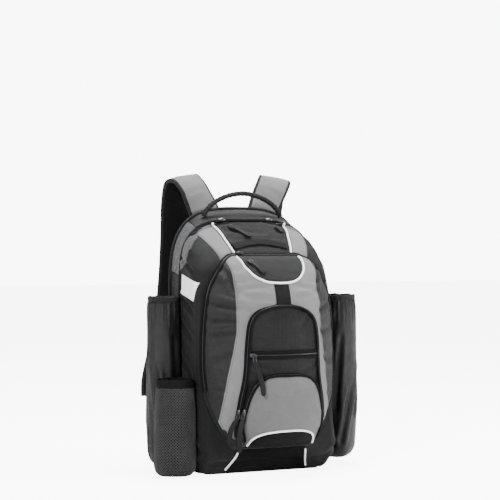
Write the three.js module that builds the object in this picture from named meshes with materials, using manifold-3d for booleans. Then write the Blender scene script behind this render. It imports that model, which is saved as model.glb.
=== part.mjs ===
// Baseball bat backpack, standing on its base. Millimetres, +Z up.
// The wearer's back is towards +Y, the pockets face -Y, and the base's underside is z = 0.
// The bag is made of cloth panels: a front tray and a rear band round the main compartment,
// three pockets stacked on the tray, two bat sleeves, a bottle pocket, a handle and two straps.

import * as THREE from 'three';
import { mergeVertices } from 'three/addons/utils/BufferGeometryUtils.js';
import Module from 'manifold-3d';

const wasm = await Module();
wasm.setup();

// Cloth and clearances
const CLOTH = 2;
const SLEEVE_CLOTH = 1.6;
const SEAM_GAP = 0.3;
const SEAT_GAP = 0.6;
const SINK = 3;
const RIM_DEPTH = 1.5;
const WELD = 0.02;

// Main compartment
const BODY_HALF = 138;
const BACK_TOP = 489;
const ZIP_TOP = 463;
const SHOULDER_Z = 330;
const BASE_THICK = 2.3;
const BASE_CORNER = 22;
const BASE_TUCK = 12;
const BACK_Y = 67;
const BODY_DEPTH = 135;
const BACK_PAD = 8;
const ZIP_Y = 15;
const ZIP_TAPE = 8;
const ZIP_END_Z = 300;
const EDGE_ROUND = 15;
const TOP_ROUND = 45;
const PIPING_R = 2.4;
const WHITE_R = 1.9;

// Front pocket, middle pocket and lower pocket, from the back plane to each face
const FRONT_POCKET = { bottom: 48, top: 401, half: 135, out: 212, crown: 0, crownPower: 2 };
const MIDDLE_POCKET = { bottom: 50.5, top: 309.5, half: 88, out: 218, crown: 20, crownPower: 2 };
const LOWER_POCKET = { bottom: 53, top: 184.6, half: 86, out: 236, crown: 33, crownPower: 2.5 };
const SOFT_EDGE = 1.7;
const TOP_EDGE = 3;
const BOX_EDGE = 8;
const ZIP_WIDTH = 6;
const ZIP_THICK = 2.2;

// Panels sewn into the faces
const BAND_PIPING_X = 78;
const BAND_WIDTH_TOP = 32;
const BAND_LOW_X = 60;
const BAND_LOW_WIDTH = 32;
const BAND_LOW_Z = 400;
const CROWN_HALF = 64;
const CROWN_BOTTOM = 350;
const STRIP_HALF = 14.5;
const ARCH_HALF = 66;
const ARCH_TOP = 86;
const FLAT_ZIP_Z = 222;
const FLAT_ZIP_HALF = 68;
const FLAT_ZIP_WIDTH = 15;
const WEB_BAND_HALF = 56;
const WEB_BAND_Z = 424;
const WEB_BAND_DROP = 8;
const WEB_BAND_WIDTH = 15;
const WEBBING_THICK = 1.6;

// Side pieces
const SLEEVE_RIM = 325;
const SLEEVE_BOTTOM = 14;
const HEM_HEIGHT = 11;
const HEM_THICK = 2.4;
const LEFT_SLEEVE = { side: -1, reach: 60, halfDepth: 31, centreY: 23 };
const RIGHT_SLEEVE = { side: 1, reach: 77, halfDepth: 56, centreY: -6 };
const BOTTLE = { side: -1, reach: 76, halfDepth: 38, centreY: -49 };
const BOTTLE_BOTTOM = 2;
const BOTTLE_RIM = 177;
const BOTTLE_BAND = 16;

// Handle and straps
const HANDLE_R = 4.8;
const HANDLE_Y = 33;
const STRAP_WIDTH = 64;
const STRAP_THICK = 9;
const WEBBING_WIDTH = 25;
const BUCKLE = {
  width: 38, height: 30, thick: 5, slotWide: 28, slotHigh: 6, slotRise: 7,
  lean: 0.2, x: 148.5, y: 97.6, z: 115.2,
};
const SLIDER = { length: 13, width: 8, height: 4.5 };
const PULL = { width: 9.5, thick: 3.6 };

// Front of the tray on its middle line: up is a share of the zip's top, out of the body's depth
const TRAY_FACE = [
  { up: 0, out: 0.94 },
  { up: 0.017, out: 0.97 },
  { up: 0.104, out: 1.17 },
  { up: 0.216, out: 1.12 },
  { up: 0.43, out: 1.03 },
  { up: 0.71, out: 1 },
  { up: 0.8, out: 0.985 },
  { up: 0.864, out: 0.91 },
  { up: 0.929, out: 0.705 },
  { up: 0.976, out: 0.52 },
  { up: 1, out: 0.437 },
];

// Pockets: up is a share of the pocket's height, half of its half width, out of its reach
const FRONT_ROWS = [
  { up: 0, half: 0.6, out: 0.764 },
  { up: 0.023, half: 0.65, out: 0.835 },
  { up: 0.071, half: 0.725, out: 0.92 },
  { up: 0.142, half: 0.83, out: 0.967 },
  { up: 0.238, half: 0.94, out: 0.995 },
  { up: 0.329, half: 0.985, out: 1 },
  { up: 0.456, half: 1, out: 1 },
  { up: 0.592, half: 0.99, out: 1 },
  { up: 0.714, half: 0.965, out: 0.988 },
  { up: 0.782, half: 0.94, out: 0.97 },
  { up: 0.85, half: 0.88, out: 0.93 },
  { up: 0.912, half: 0.79, out: 0.863 },
  { up: 0.955, half: 0.71, out: 0.788 },
  { up: 0.98, half: 0.63, out: 0.726 },
  { up: 1, half: 0.53, out: 0.627 },
];
const MIDDLE_ROWS = [
  { up: 0, half: 0.8, out: 0.82 },
  { up: 0.03, half: 0.86, out: 0.904 },
  { up: 0.1, half: 0.97, out: 0.963 },
  { up: 0.2, half: 1, out: 0.99 },
  { up: 0.325, half: 0.966, out: 1 },
  { up: 0.436, half: 0.9, out: 1 },
  { up: 0.547, half: 0.85, out: 1 },
  { up: 0.688, half: 0.83, out: 1 },
  { up: 0.78, half: 0.81, out: 1 },
  { up: 0.887, half: 0.76, out: 0.993 },
  { up: 0.941, half: 0.65, out: 0.982 },
  { up: 0.979, half: 0.44, out: 0.966 },
  { up: 1, half: 0.18, out: 0.956 },
];
const LOWER_ROWS = [
  { up: 0, half: 0.79, out: 0.8 },
  { up: 0.045, half: 0.84, out: 0.85 },
  { up: 0.112, half: 0.89, out: 0.903 },
  { up: 0.186, half: 0.93, out: 0.936 },
  { up: 0.297, half: 0.98, out: 0.97 },
  { up: 0.446, half: 0.95, out: 0.99 },
  { up: 0.594, half: 0.9, out: 1 },
  { up: 0.698, half: 0.86, out: 1 },
  { up: 0.802, half: 0.79, out: 1 },
  { up: 0.892, half: 0.69, out: 0.987 },
  { up: 0.951, half: 0.55, out: 0.966 },
  { up: 1, half: 0.28, out: 0.934 },
];

// Grey face of the front pocket: half is a share of the pocket's half width
const FACE_EDGE = [
  { up: 0.068, half: 0.62 },
  { up: 0.145, half: 0.815 },
  { up: 0.218, half: 0.807 },
  { up: 0.374, half: 0.748 },
  { up: 0.516, half: 0.678 },
  { up: 0.63, half: 0.637 },
  { up: 0.77, half: 0.63 },
  { up: 0.844, half: 0.626 },
  { up: 0.926, half: 0.637 },
  { up: 1.03, half: 0.66 },
];

// Sleeves and bottle pocket: size is a share of the full section
const SLEEVE_ROWS = [
  { up: 0, size: 0.55 },
  { up: 0.035, size: 0.82 },
  { up: 0.09, size: 0.95 },
  { up: 0.3, size: 1 },
  { up: 0.86, size: 0.99 },
  { up: 0.95, size: 0.97 },
  { up: 1, size: 0.93 },
];
const BOTTLE_ROWS = [
  { up: 0, size: 0.74 },
  { up: 0.05, size: 0.93 },
  { up: 0.14, size: 1 },
  { up: 0.5, size: 0.99 },
  { up: 0.85, size: 0.94 },
  { up: 1, size: 0.88 },
];

// Grey wedge and white flash on the tray's side, as (y, z)
const WEDGE = [[ZIP_Y, 447], [-8, 433], [-16, 413], [-14, 393], [-4, 380], [ZIP_Y, 371]];
const FLASH = [[4, 366], [-60, 351], [-48, 317], [4, 331]];
const CORNER_PATCH = [[0, 457], [BACK_Y, 462], [BACK_Y, 366], [0, 372]];

// Middle line of the right strap: turn leans the outer edge towards the pockets
const STRAP_LINE = [
  { x: 52, y: 72.2, z: 440, turn: 0, drop: -0.2 },
  { x: 60, y: 73, z: 478, turn: 0, drop: -0.24 },
  { x: 74, y: 75.5, z: 510, turn: -0.2, drop: -0.22 },
  { x: 86, y: 78, z: 533, turn: -0.3, drop: -0.2 },
  { x: 96, y: 87, z: 546, turn: -0.25, drop: -0.18 },
  { x: 100, y: 104, z: 542, turn: -0.15, drop: -0.1 },
  { x: 99, y: 119, z: 505, turn: 0, drop: 0 },
  { x: 97, y: 127, z: 430, turn: 0.1, drop: 0.06 },
  { x: 101, y: 127, z: 350, turn: 0.15, drop: 0.08 },
  { x: 114, y: 120, z: 262, turn: 0.15, drop: 0.05 },
  { x: 136, y: 110, z: 190, turn: 0.1, drop: 0 },
  { x: 147, y: 102, z: 156, turn: 0.05, drop: 0 },
  { x: 149, y: 98, z: 132, turn: 0.05, drop: 0 },
];
const WEBBING_LINE = [
  { x: 148, y: 92, z: 116, turn: 0, drop: 0 },
  { x: 146, y: 86, z: 88, turn: 0, drop: 0.06 },
  { x: 139, y: 79, z: 62, turn: 0, drop: 0.15 },
  { x: 128, y: 73.5, z: 40, turn: 0, drop: 0.25 },
  { x: 116, y: 70.5, z: 24, turn: 0, drop: 0.3 },
];

// Grab handle from its root to its middle, and the white piping under the front pocket
const HANDLE_LINE = [[81, 474.3], [76, 484], [65, 495.5], [45, 507.5], [22, 515], [0, 517.5]];
const BASE_PIPING_LINE = [[69, 43], [72, 33], [77, 21], [83, 9]];

// Zip pulls below their sliders as middle lines of (x, y, z), with the way their faces look
const PULL_LINES = {
  middle: { look: [-0.6, -0.8, 0], line: [[-98, -124, 88], [-96, -112, 58]] },
  flat: { look: [0, -1, 0], line: [[-57, -162.5, 176], [-54, -166, 150]] },
  lower: { look: [-0.7, -0.7, 0], line: [[-92, -147, 80], [-89, -141, 48]] },
};
// Where the sliders stand on their zips: middle and lower by z, the others by x
const SLIDER_SPOTS = {
  main_left: -54, main_right: 46, front: -53, middle: 118, lower: 119, flat: -62,
};
const PULL_SEATS = {
  main_left: [[-46, 455], [-35, 449], [-23, 441], [-11, 433]],
  main_right: [[50, 454], [56, 448.5], [62, 442]],
  front: [[-49, 391], [-42, 384], [-35, 376], [-28, 367]],
};

const materials = {
  black: { color: 0x2c2c2e, roughness: 0.82, metalness: 0 },
  dark: { color: 0x141415, roughness: 0.88, metalness: 0 },
  grey: { color: 0x8f8f90, roughness: 0.85, metalness: 0 },
  white: { color: 0xf0f0ee, roughness: 0.6, metalness: 0 },
  mesh: { color: 0x1d1d1e, roughness: 0.9, metalness: 0 },
  plastic: { color: 0x101011, roughness: 0.4, metalness: 0 },
};

const bag = new THREE.Group();

function clamp(value, low, high) {
  return Math.min(Math.max(value, low), high);
}

// Smooth value of a table's column at a share of the height, with no overshoot
function profile(rows, column, at) {
  const up = clamp(at, rows[0].up, rows[rows.length - 1].up);
  let i = 0;
  while (i < rows.length - 2 && up > rows[i + 1].up) i += 1;
  const slope = (k) => (rows[k + 1][column] - rows[k][column]) / (rows[k + 1].up - rows[k].up);
  const tangent = (k) => {
    if (k === 0) return slope(0);
    if (k === rows.length - 1) return slope(k - 1);
    const a = slope(k - 1);
    const b = slope(k);
    return a * b <= 0 ? 0 : (2 * a * b) / (a + b);
  };
  const span = rows[i + 1].up - rows[i].up;
  const t = (up - rows[i].up) / span;
  const t2 = t * t;
  const t3 = t2 * t;
  return (2 * t3 - 3 * t2 + 1) * rows[i][column] + (t3 - 2 * t2 + t) * span * tangent(i)
    + (3 * t2 - 2 * t3) * rows[i + 1][column] + (t3 - t2) * span * tangent(i + 1);
}

// Closed geometry from points and triangles, turned so that its faces point out
function closed(points, triangles) {
  let volume = 0;
  for (const [a, b, c] of triangles) {
    volume += points[a].dot(new THREE.Vector3().crossVectors(points[b], points[c]));
  }
  const index = triangles.flatMap(([a, b, c]) => (volume > 0 ? [a, b, c] : [a, c, b]));
  const geometry = new THREE.BufferGeometry().setFromPoints(points);
  geometry.setIndex(index);
  return geometry;
}

function quad(triangles, a, b, c, d) {
  triangles.push([a, b, c], [a, c, d]);
}

// A sheet with thickness, between an outer and an inner grid of points
function sheet(outer, inner) {
  const rows = outer.length;
  const cols = outer[0].length;
  const points = [...outer.flat(), ...inner.flat()];
  const shift = rows * cols;
  const at = (j, i) => j * cols + i;
  const triangles = [];
  for (let j = 0; j < rows - 1; j += 1) {
    for (let i = 0; i < cols - 1; i += 1) {
      quad(triangles, at(j, i), at(j, i + 1), at(j + 1, i + 1), at(j + 1, i));
      quad(triangles, at(j, i) + shift, at(j + 1, i) + shift, at(j + 1, i + 1) + shift,
        at(j, i + 1) + shift);
    }
  }
  for (let i = 0; i < cols - 1; i += 1) {
    quad(triangles, at(0, i), at(0, i) + shift, at(0, i + 1) + shift, at(0, i + 1));
    const top = rows - 1;
    quad(triangles, at(top, i), at(top, i + 1), at(top, i + 1) + shift, at(top, i) + shift);
  }
  for (let j = 0; j < rows - 1; j += 1) {
    quad(triangles, at(j, 0), at(j + 1, 0), at(j + 1, 0) + shift, at(j, 0) + shift);
    const end = cols - 1;
    quad(triangles, at(j, end), at(j, end) + shift, at(j + 1, end) + shift, at(j + 1, end));
  }
  return closed(points, triangles);
}

// A solid through closed rings of points, open as a loop or capped at both ends
function loft(rings, joined = false) {
  const n = rings[0].length;
  const points = rings.flat();
  const triangles = [];
  const spans = joined ? rings.length : rings.length - 1;
  for (let j = 0; j < spans; j += 1) {
    const next = ((j + 1) % rings.length) * n;
    for (let i = 0; i < n; i += 1) {
      const k = (i + 1) % n;
      quad(triangles, j * n + i, j * n + k, next + k, next + i);
    }
  }
  if (!joined) {
    const last = (rings.length - 1) * n;
    for (let i = 1; i < n - 1; i += 1) {
      triangles.push([0, i + 1, i], [last, last + i, last + i + 1]);
    }
  }
  return closed(points, triangles);
}

function solidOf(geometry) {
  const bare = geometry.clone();
  bare.deleteAttribute('normal');
  bare.deleteAttribute('uv');
  const merged = mergeVertices(bare, 1e-4);
  return new wasm.Manifold(new wasm.Mesh({
    numProp: 3,
    vertProperties: new Float32Array(merged.getAttribute('position').array),
    triVerts: new Uint32Array(merged.index.array),
  }));
}

// Mesh of a solid's largest body, with vertices nearer than the weld distance joined
function geometryOf(solid) {
  const [body] = solid.decompose().sort((a, b) => b.volume() - a.volume());
  const mesh = body.getMesh();
  const geometry = new THREE.BufferGeometry();
  geometry.setAttribute('position', new THREE.BufferAttribute(mesh.vertProperties, 3));
  geometry.setIndex(new THREE.BufferAttribute(mesh.triVerts, 1));
  const welded = mergeVertices(geometry, WELD);
  const corners = welded.index.array;
  const kept = [];
  for (let i = 0; i < corners.length; i += 3) {
    const [a, b, c] = corners.slice(i, i + 3);
    if (a !== b && b !== c && c !== a) kept.push(a, b, c);
  }
  welded.setIndex(kept);
  return welded;
}

// An outline moved out by a distance, or in by a negative one
function grown(outline, distance) {
  const area = outline.reduce((sum, p, i) => {
    const q = outline[(i + 1) % outline.length];
    return sum + p[0] * q[1] - q[0] * p[1];
  }, 0);
  const sign = Math.sign(area);
  return outline.map((p, i) => {
    const before = outline[(i + outline.length - 1) % outline.length];
    const after = outline[(i + 1) % outline.length];
    const a = new THREE.Vector2(p[0] - before[0], p[1] - before[1]).normalize();
    const b = new THREE.Vector2(after[0] - p[0], after[1] - p[1]).normalize();
    const out = new THREE.Vector2(a.y + b.y, -a.x - b.x).normalize();
    const reach = distance / Math.max(0.4, out.x * a.y - out.y * a.x);
    return [p[0] + out.x * reach * sign, p[1] + out.y * reach * sign];
  });
}

// A cutter through an outline of (x, z), running along Y
function alongY(outline, from, to) {
  const shape = new THREE.Shape(outline.map(([x, z]) => new THREE.Vector2(x, z)));
  const geometry = new THREE.ExtrudeGeometry(shape, { depth: to - from, bevelEnabled: false });
  geometry.rotateX(Math.PI / 2);
  geometry.translate(0, to, 0);
  return solidOf(geometry);
}

// A cutter through an outline of (y, z), running along X
function alongX(outline, from, to) {
  const shape = new THREE.Shape(outline.map(([y, z]) => new THREE.Vector2(y, z)));
  const geometry = new THREE.ExtrudeGeometry(shape, { depth: to - from, bevelEnabled: false });
  geometry.rotateX(Math.PI / 2);
  geometry.rotateZ(Math.PI / 2);
  geometry.translate(from, 0, 0);
  return solidOf(geometry);
}

function add(name, geometry, material) {
  const mesh = new THREE.Mesh(geometry, new THREE.MeshStandardMaterial(materials[material]));
  mesh.name = name;
  bag.add(mesh);
  return mesh;
}

// Half width of the bag at a height, for an outline that closes at the given top
function halfAt(z, top, power) {
  if (z > SHOULDER_Z) {
    const rise = Math.min((z - SHOULDER_Z) / (top - SHOULDER_Z), 1);
    return BODY_HALF * (1 - rise ** power) ** (1 / power);
  }
  const lift = clamp(1 - (z - BASE_THICK) / BASE_CORNER, 0, 1);
  return BODY_HALF - BASE_TUCK * (1 - Math.sqrt(1 - lift * lift));
}

const ZIP_POWER = 3.7;
const BACK_POWER = 3;
const zipHalf = (z) => halfAt(z, ZIP_TOP, ZIP_POWER);
const ZIP_FRONT = ZIP_Y - ZIP_TAPE / 2;
const ZIP_BACK = ZIP_Y + ZIP_TAPE / 2;

const trayFaceY = (z) => BACK_Y - BODY_DEPTH * profile(TRAY_FACE, 'out', z / ZIP_TOP);

function trayRound(z) {
  const share = clamp((z - SHOULDER_Z) / ((ZIP_TOP - SHOULDER_Z) / 2), 0, 1);
  return Math.min(EDGE_ROUND + (TOP_ROUND - EDGE_ROUND) * share, zipHalf(z) * 0.6);
}

// Front surface of the tray, as a depth over x and z
function trayY(x, z) {
  const round = trayRound(z);
  const into = clamp((Math.abs(x) - zipHalf(z) + round) / round, 0, 1);
  const fold = round * (1 - Math.sqrt(1 - into * into));
  return Math.min(trayFaceY(z) + fold, ZIP_FRONT - CLOTH - RIM_DEPTH);
}

const TRAY_BOTTOM = BASE_THICK + SEAM_GAP;
const TRAY_LEVELS = [0, 0.012, 0.06, 0.115, 0.22, 0.35, 0.53, 0.7, 0.79, 0.85, 0.895, 0.93,
  0.96, 0.985, 0.999];

function trayGrid(inset) {
  const top = ZIP_TOP - inset;
  const bottom = TRAY_BOTTOM + inset;
  const section = (z, rim) => {
    const level = clamp(z, bottom, top);
    const half = zipHalf(z);
    const round = trayRound(z);
    const xs = [half, half, half - round * 0.134, half - round / 2, half - round];
    const all = [...xs.map((x) => -x), 0, ...xs.reverse()];
    return all.map((x, i) => {
      const onRim = rim || i === 0 || i === all.length - 1;
      const y = onRim ? ZIP_FRONT - SEAM_GAP / 2 : trayY(x, z) + inset;
      return new THREE.Vector3(x * (1 - inset / Math.max(half, 4 * inset)), y, level);
    });
  };
  const levels = TRAY_LEVELS.map((share) => TRAY_BOTTOM + (ZIP_TOP - TRAY_BOTTOM) * share);
  return [section(levels[0], true), ...levels.map((z) => section(z, false)),
    section(levels[levels.length - 1], true)];
}

const ARC_STEPS = 14;
const SIDE_SHARES = [0.75, 0.5, 0.25];
const CORNER_ANGLES = [0, 30, 60, 90];

// Closed outline of the bag at a depth y, pulled in by an inset
function bodyLoop(y, top, power, inset) {
  const points = [];
  for (let i = 0; i <= ARC_STEPS; i += 1) {
    const angle = (Math.PI * i) / ARC_STEPS;
    const wide = Math.abs(Math.cos(angle)) ** (2 / power) * Math.sign(Math.cos(angle));
    const rise = Math.max(0, Math.sin(angle)) ** (2 / power);
    points.push([wide * (BODY_HALF - inset), SHOULDER_Z + rise * (top - SHOULDER_Z - inset)]);
  }
  const side = SIDE_SHARES.map((share) => TRAY_BOTTOM + BASE_CORNER
    + (SHOULDER_Z - TRAY_BOTTOM - BASE_CORNER) * share);
  const corner = CORNER_ANGLES.map((degrees) => {
    const angle = (degrees * Math.PI) / 180;
    return [BODY_HALF - inset - BASE_CORNER * (1 - Math.cos(angle)),
      TRAY_BOTTOM + inset + BASE_CORNER * (1 - Math.sin(angle))];
  });
  side.forEach((z) => points.push([-(BODY_HALF - inset), z]));
  corner.forEach(([x, z]) => points.push([-x, z]));
  points.push([-BODY_HALF / 3, TRAY_BOTTOM + inset], [BODY_HALF / 3, TRAY_BOTTOM + inset]);
  corner.reverse().forEach(([x, z]) => points.push([x, z]));
  side.reverse().forEach((z) => points.push([BODY_HALF - inset, z]));
  return points.map(([x, z]) => new THREE.Vector3(x, y, z));
}

// The part of that outline from one base corner over the top to the other
function overTop(loop) {
  return [...loop.slice(-SIDE_SHARES.length - 1), ...loop.slice(0, ARC_STEPS + SIDE_SHARES.length + 2)];
}

const topAt = (y) => ZIP_TOP + (BACK_TOP - ZIP_TOP) * Math.sin(
  (clamp((y - ZIP_FRONT) / (BACK_Y - ZIP_FRONT), 0, 1) * Math.PI) / 2);
const powerAt = (y) => ZIP_POWER + (BACK_POWER - ZIP_POWER)
  * clamp((y - ZIP_FRONT) / (BACK_Y - ZIP_FRONT), 0, 1);

// A band of cloth round the bag between two depths, as a ring of four-sided sections
function bodyBand(depths, thick, out = 0) {
  const outer = depths.map((y) => bodyLoop(y, topAt(y), powerAt(y), -out));
  const inner = depths.map((y) => bodyLoop(y, topAt(y), powerAt(y), thick - out));
  return outer[0].map((_, i) => [...outer.map((loop) => loop[i]),
    ...inner.map((loop) => loop[i]).reverse()]);
}

// A pocket standing on a carrier surface
function makePocket(sizes, rows, carrier, edgePower) {
  const { bottom, top, half, out, crown, crownPower } = sizes;
  const upAt = (z) => (z - bottom) / (top - bottom);
  const width = (z) => half * profile(rows, 'half', upAt(z));
  const face = (x, z) => BACK_Y - out * profile(rows, 'out', upAt(z))
    + crown * (Math.abs(x) / half) ** crownPower;
  const y = (x, z) => {
    if (z < bottom || z > top || Math.abs(x) > width(z)) return carrier(x, z);
    const power = edgePower(upAt(z));
    const k = Math.abs(x) / width(z);
    const stand = (1 - k ** power) ** (1 / power);
    const base = carrier(x, z) - SEAT_GAP;
    return Math.min(base + (face(x, z) - base) * stand, base - CLOTH - SEAM_GAP);
  };
  return { bottom, top, rows, width, face, y, carrier, power: edgePower };
}

const front = makePocket(FRONT_POCKET, FRONT_ROWS, trayY,
  (up) => SOFT_EDGE + (TOP_EDGE - SOFT_EDGE) * clamp((up - 0.86) / 0.12, 0, 1));
const middle = makePocket(MIDDLE_POCKET, MIDDLE_ROWS, front.y, () => BOX_EDGE);
const lower = makePocket(LOWER_POCKET, LOWER_ROWS, middle.y, () => BOX_EDGE / 2);

function pocketGrid(pocket, shares, inset) {
  const low = pocket.bottom + inset;
  const high = pocket.top - inset;
  const section = (z, rim) => shares.map((share, i) => {
    const wide = pocket.width(z);
    const x = share * (wide - inset);
    const level = clamp(z, low, high);
    const carrier = pocket.carrier(x, level);
    const onRim = rim || i === 0 || i === shares.length - 1;
    const stand = Math.min(pocket.y(share * wide * 0.9999, z) + inset, carrier - 2 * SEAM_GAP);
    return new THREE.Vector3(x, onRim ? carrier + SINK : stand, level);
  });
  const levels = pocket.rows.map((row) => pocket.bottom + row.up * (pocket.top - pocket.bottom));
  return [section(levels[0], true), ...levels.map((z) => section(z, false)),
    section(levels[levels.length - 1], true)];
}

// The space behind a grid's surface, with a seam gap in front of it
function behind(grid, hemColumns) {
  const rows = grid.slice(1, -1).map((row) => row.slice(hemColumns, row.length - hemColumns));
  const fore = rows.map((row) => row.map((point) => point.clone().setY(point.y - SEAM_GAP)));
  const aft = rows.map((row) => row.map((point) => point.clone().setY(BACK_Y)));
  return solidOf(sheet(fore, aft));
}

// A pocket's cloth, with its rim trimmed to lie on what carries it
function pocketShell(pocket, shares, carrierSpace) {
  const cloth = solidOf(sheet(pocketGrid(pocket, shares, 0), pocketGrid(pocket, shares, CLOTH)));
  return cloth.subtract(carrierSpace);
}

const mirrored = (shares) => [...shares.map((s) => -s), 0, ...[...shares].reverse()];
const SOFT_SHARES = mirrored([1, 0.985, 0.93, 0.82, 0.62, 0.34]);
const BOX_SHARES = mirrored([1, 0.998, 0.97, 0.88, 0.55]);

// Outline of a panel that is the same on both sides, from its right-hand points
const bothSides = (right) => [...right, ...right.map(([x, z]) => [-x, z]).reverse()];

// Splits a panel out of a shell, with a seam gap round it
function split(shell, outline, cutter) {
  return {
    panel: shell.intersect(cutter(grown(outline, -SEAM_GAP / 2))),
    rest: shell.subtract(cutter(grown(outline, SEAM_GAP / 2))),
  };
}

// Outward normal of a depth surface at (x, z)
function normalOn(surface, x, z) {
  const step = 1.5;
  const dx = (surface(x + step, z) - surface(x - step, z)) / (2 * step);
  const dz = (surface(x, z + step) - surface(x, z - step)) / (2 * step);
  return new THREE.Vector3(dx, -1, dz).normalize();
}

const onSurface = (surface, x, z) => ({
  point: new THREE.Vector3(x, surface(x, z), z),
  normal: normalOn(surface, x, z),
});

// A strip with a six-sided section, laid along seats that hold a point and a normal
function bead(seats, width, height, lift = SEAT_GAP, joined = false) {
  const rings = seats.map(({ point, normal, size = 1 }, i) => {
    const before = seats[joined ? (i + seats.length - 1) % seats.length : Math.max(i - 1, 0)];
    const after = seats[joined ? (i + 1) % seats.length : Math.min(i + 1, seats.length - 1)];
    const along = new THREE.Vector3().subVectors(after.point, before.point).normalize();
    const across = new THREE.Vector3().crossVectors(along, normal).normalize();
    const rise = new THREE.Vector3().crossVectors(across, along).normalize();
    const corners = [[-0.5, 0], [-0.5, 0.45], [-0.28, 1], [0.28, 1], [0.5, 0.45], [0.5, 0]];
    return corners.map(([a, b]) => point.clone().addScaledVector(across, a * width * size)
      .addScaledVector(rise, lift + b * height * size));
  });
  return loft(rings, joined);
}

function smoothSeats(seats, count) {
  const points = new THREE.CatmullRomCurve3(seats.map((seat) => seat.point), false, 'centripetal');
  const normals = new THREE.CatmullRomCurve3(seats.map((seat) => seat.normal), false, 'centripetal');
  return Array.from({ length: count + 1 }, (_, i) => ({
    point: points.getPoint(i / count),
    normal: normals.getPoint(i / count).normalize(),
  }));
}

// Seats along one column of a pocket's own grid, up one side, over the top and down the other
function edgeSeats(pocket, shares, column, fromUp) {
  const grid = pocketGrid(pocket, shares, 0);
  const last = shares.length - 1;
  const first = pocket.rows.findIndex((row) => row.up >= fromUp) + 1;
  const top = grid.length - 2;
  const seatAt = (j, i) => {
    const point = grid[j][i];
    const normal = new THREE.Vector3();
    for (const [dj, di] of [[1, 1], [1, -1], [-1, 1], [-1, -1]]) {
      const up = grid[clamp(j + dj, 0, grid.length - 1)][i].clone().sub(point);
      const out = grid[j][clamp(i + di, 0, last)].clone().sub(point);
      normal.addScaledVector(new THREE.Vector3().crossVectors(up, out).normalize(), -dj * di);
    }
    return { point, normal: normal.normalize() };
  };
  const rise = Array.from({ length: top - first }, (_, k) => first + k);
  const over = Array.from({ length: last + 1 - 2 * column }, (_, k) => column + k);
  return [...rise.map((j) => seatAt(j, column)), ...over.map((i) => seatAt(top, i)),
    ...[...rise].reverse().map((j) => seatAt(j, last - column))];
}

// Base, back panel, rear band and tray
function addBody() {
  const baseHalf = BODY_HALF - BASE_CORNER;
  const baseFront = BACK_Y - BODY_DEPTH * TRAY_FACE[0].out + CLOTH;
  const corner = BASE_CORNER / 2;
  const base = new THREE.Shape();
  base.moveTo(-baseHalf + corner, baseFront);
  base.lineTo(baseHalf - corner, baseFront);
  base.quadraticCurveTo(baseHalf, baseFront, baseHalf, baseFront + corner);
  base.lineTo(baseHalf, BACK_Y - CLOTH);
  base.lineTo(-baseHalf, BACK_Y - CLOTH);
  base.lineTo(-baseHalf, baseFront + corner);
  base.quadraticCurveTo(-baseHalf, baseFront, -baseHalf + corner, baseFront);
  const plate = new THREE.ExtrudeGeometry(base, {
    depth: BASE_THICK, bevelEnabled: false, curveSegments: 4,
  });
  add('base_panel', plate, 'dark');

  const padFront = BACK_Y - BACK_PAD;
  const padRound = CLOTH;
  const padDepths = [padFront, BACK_Y - padRound, BACK_Y];
  const padInsets = [0, 0, padRound];
  const loops = padDepths.map((y, i) => bodyLoop(y, BACK_TOP, BACK_POWER, padInsets[i]));
  add('back_panel', loft(loops), 'black');

  const bandBack = padFront - SEAM_GAP;
  const rear = solidOf(loft(bodyBand([ZIP_BACK + SEAM_GAP / 2, (ZIP_BACK + bandBack) / 2, bandBack],
    CLOTH), true));
  const patchCut = (outline) => alongX(outline, -2 * BODY_HALF, 0);
  const mirrorCut = (outline) => alongX(outline, 0, 2 * BODY_HALF);
  const left = split(rear, CORNER_PATCH, patchCut);
  const right = split(left.rest, CORNER_PATCH, mirrorCut);
  const [lowBand, topBand] = right.rest.decompose()
    .sort((a, b) => a.boundingBox().min[2] - b.boundingBox().min[2]);
  add('rear_band', geometryOf(lowBand), 'black');
  add('rear_top', geometryOf(topBand), 'black');
  add('rear_patch_left', geometryOf(left.panel), 'grey');
  add('rear_patch_right', geometryOf(right.panel), 'grey');

  const edgeY = padFront - PIPING_R;
  const edge = bodyLoop(edgeY, topAt(edgeY), powerAt(edgeY), -(SEAT_GAP + PIPING_R));
  add('back_piping', tube(overTop(edge), PIPING_R, false), 'black');
  addMainZip();
}

function tube(points, radius, joined, sides = 6) {
  const rings = points.map((point, i) => {
    const n = points.length;
    const before = points[joined ? (i + n - 1) % n : Math.max(i - 1, 0)];
    const after = points[joined ? (i + 1) % n : Math.min(i + 1, n - 1)];
    const along = new THREE.Vector3().subVectors(after, before).normalize();
    const helper = Math.abs(along.y) > 0.8 ? new THREE.Vector3(1, 0, 0) : new THREE.Vector3(0, 1, 0);
    const a = new THREE.Vector3().crossVectors(along, helper).normalize();
    const b = new THREE.Vector3().crossVectors(along, a).normalize();
    return Array.from({ length: sides }, (_, k) => {
      const angle = (2 * Math.PI * k) / sides;
      return point.clone().addScaledVector(a, Math.cos(angle) * radius)
        .addScaledVector(b, Math.sin(angle) * radius);
    });
  });
  return loft(rings, joined);
}

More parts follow.
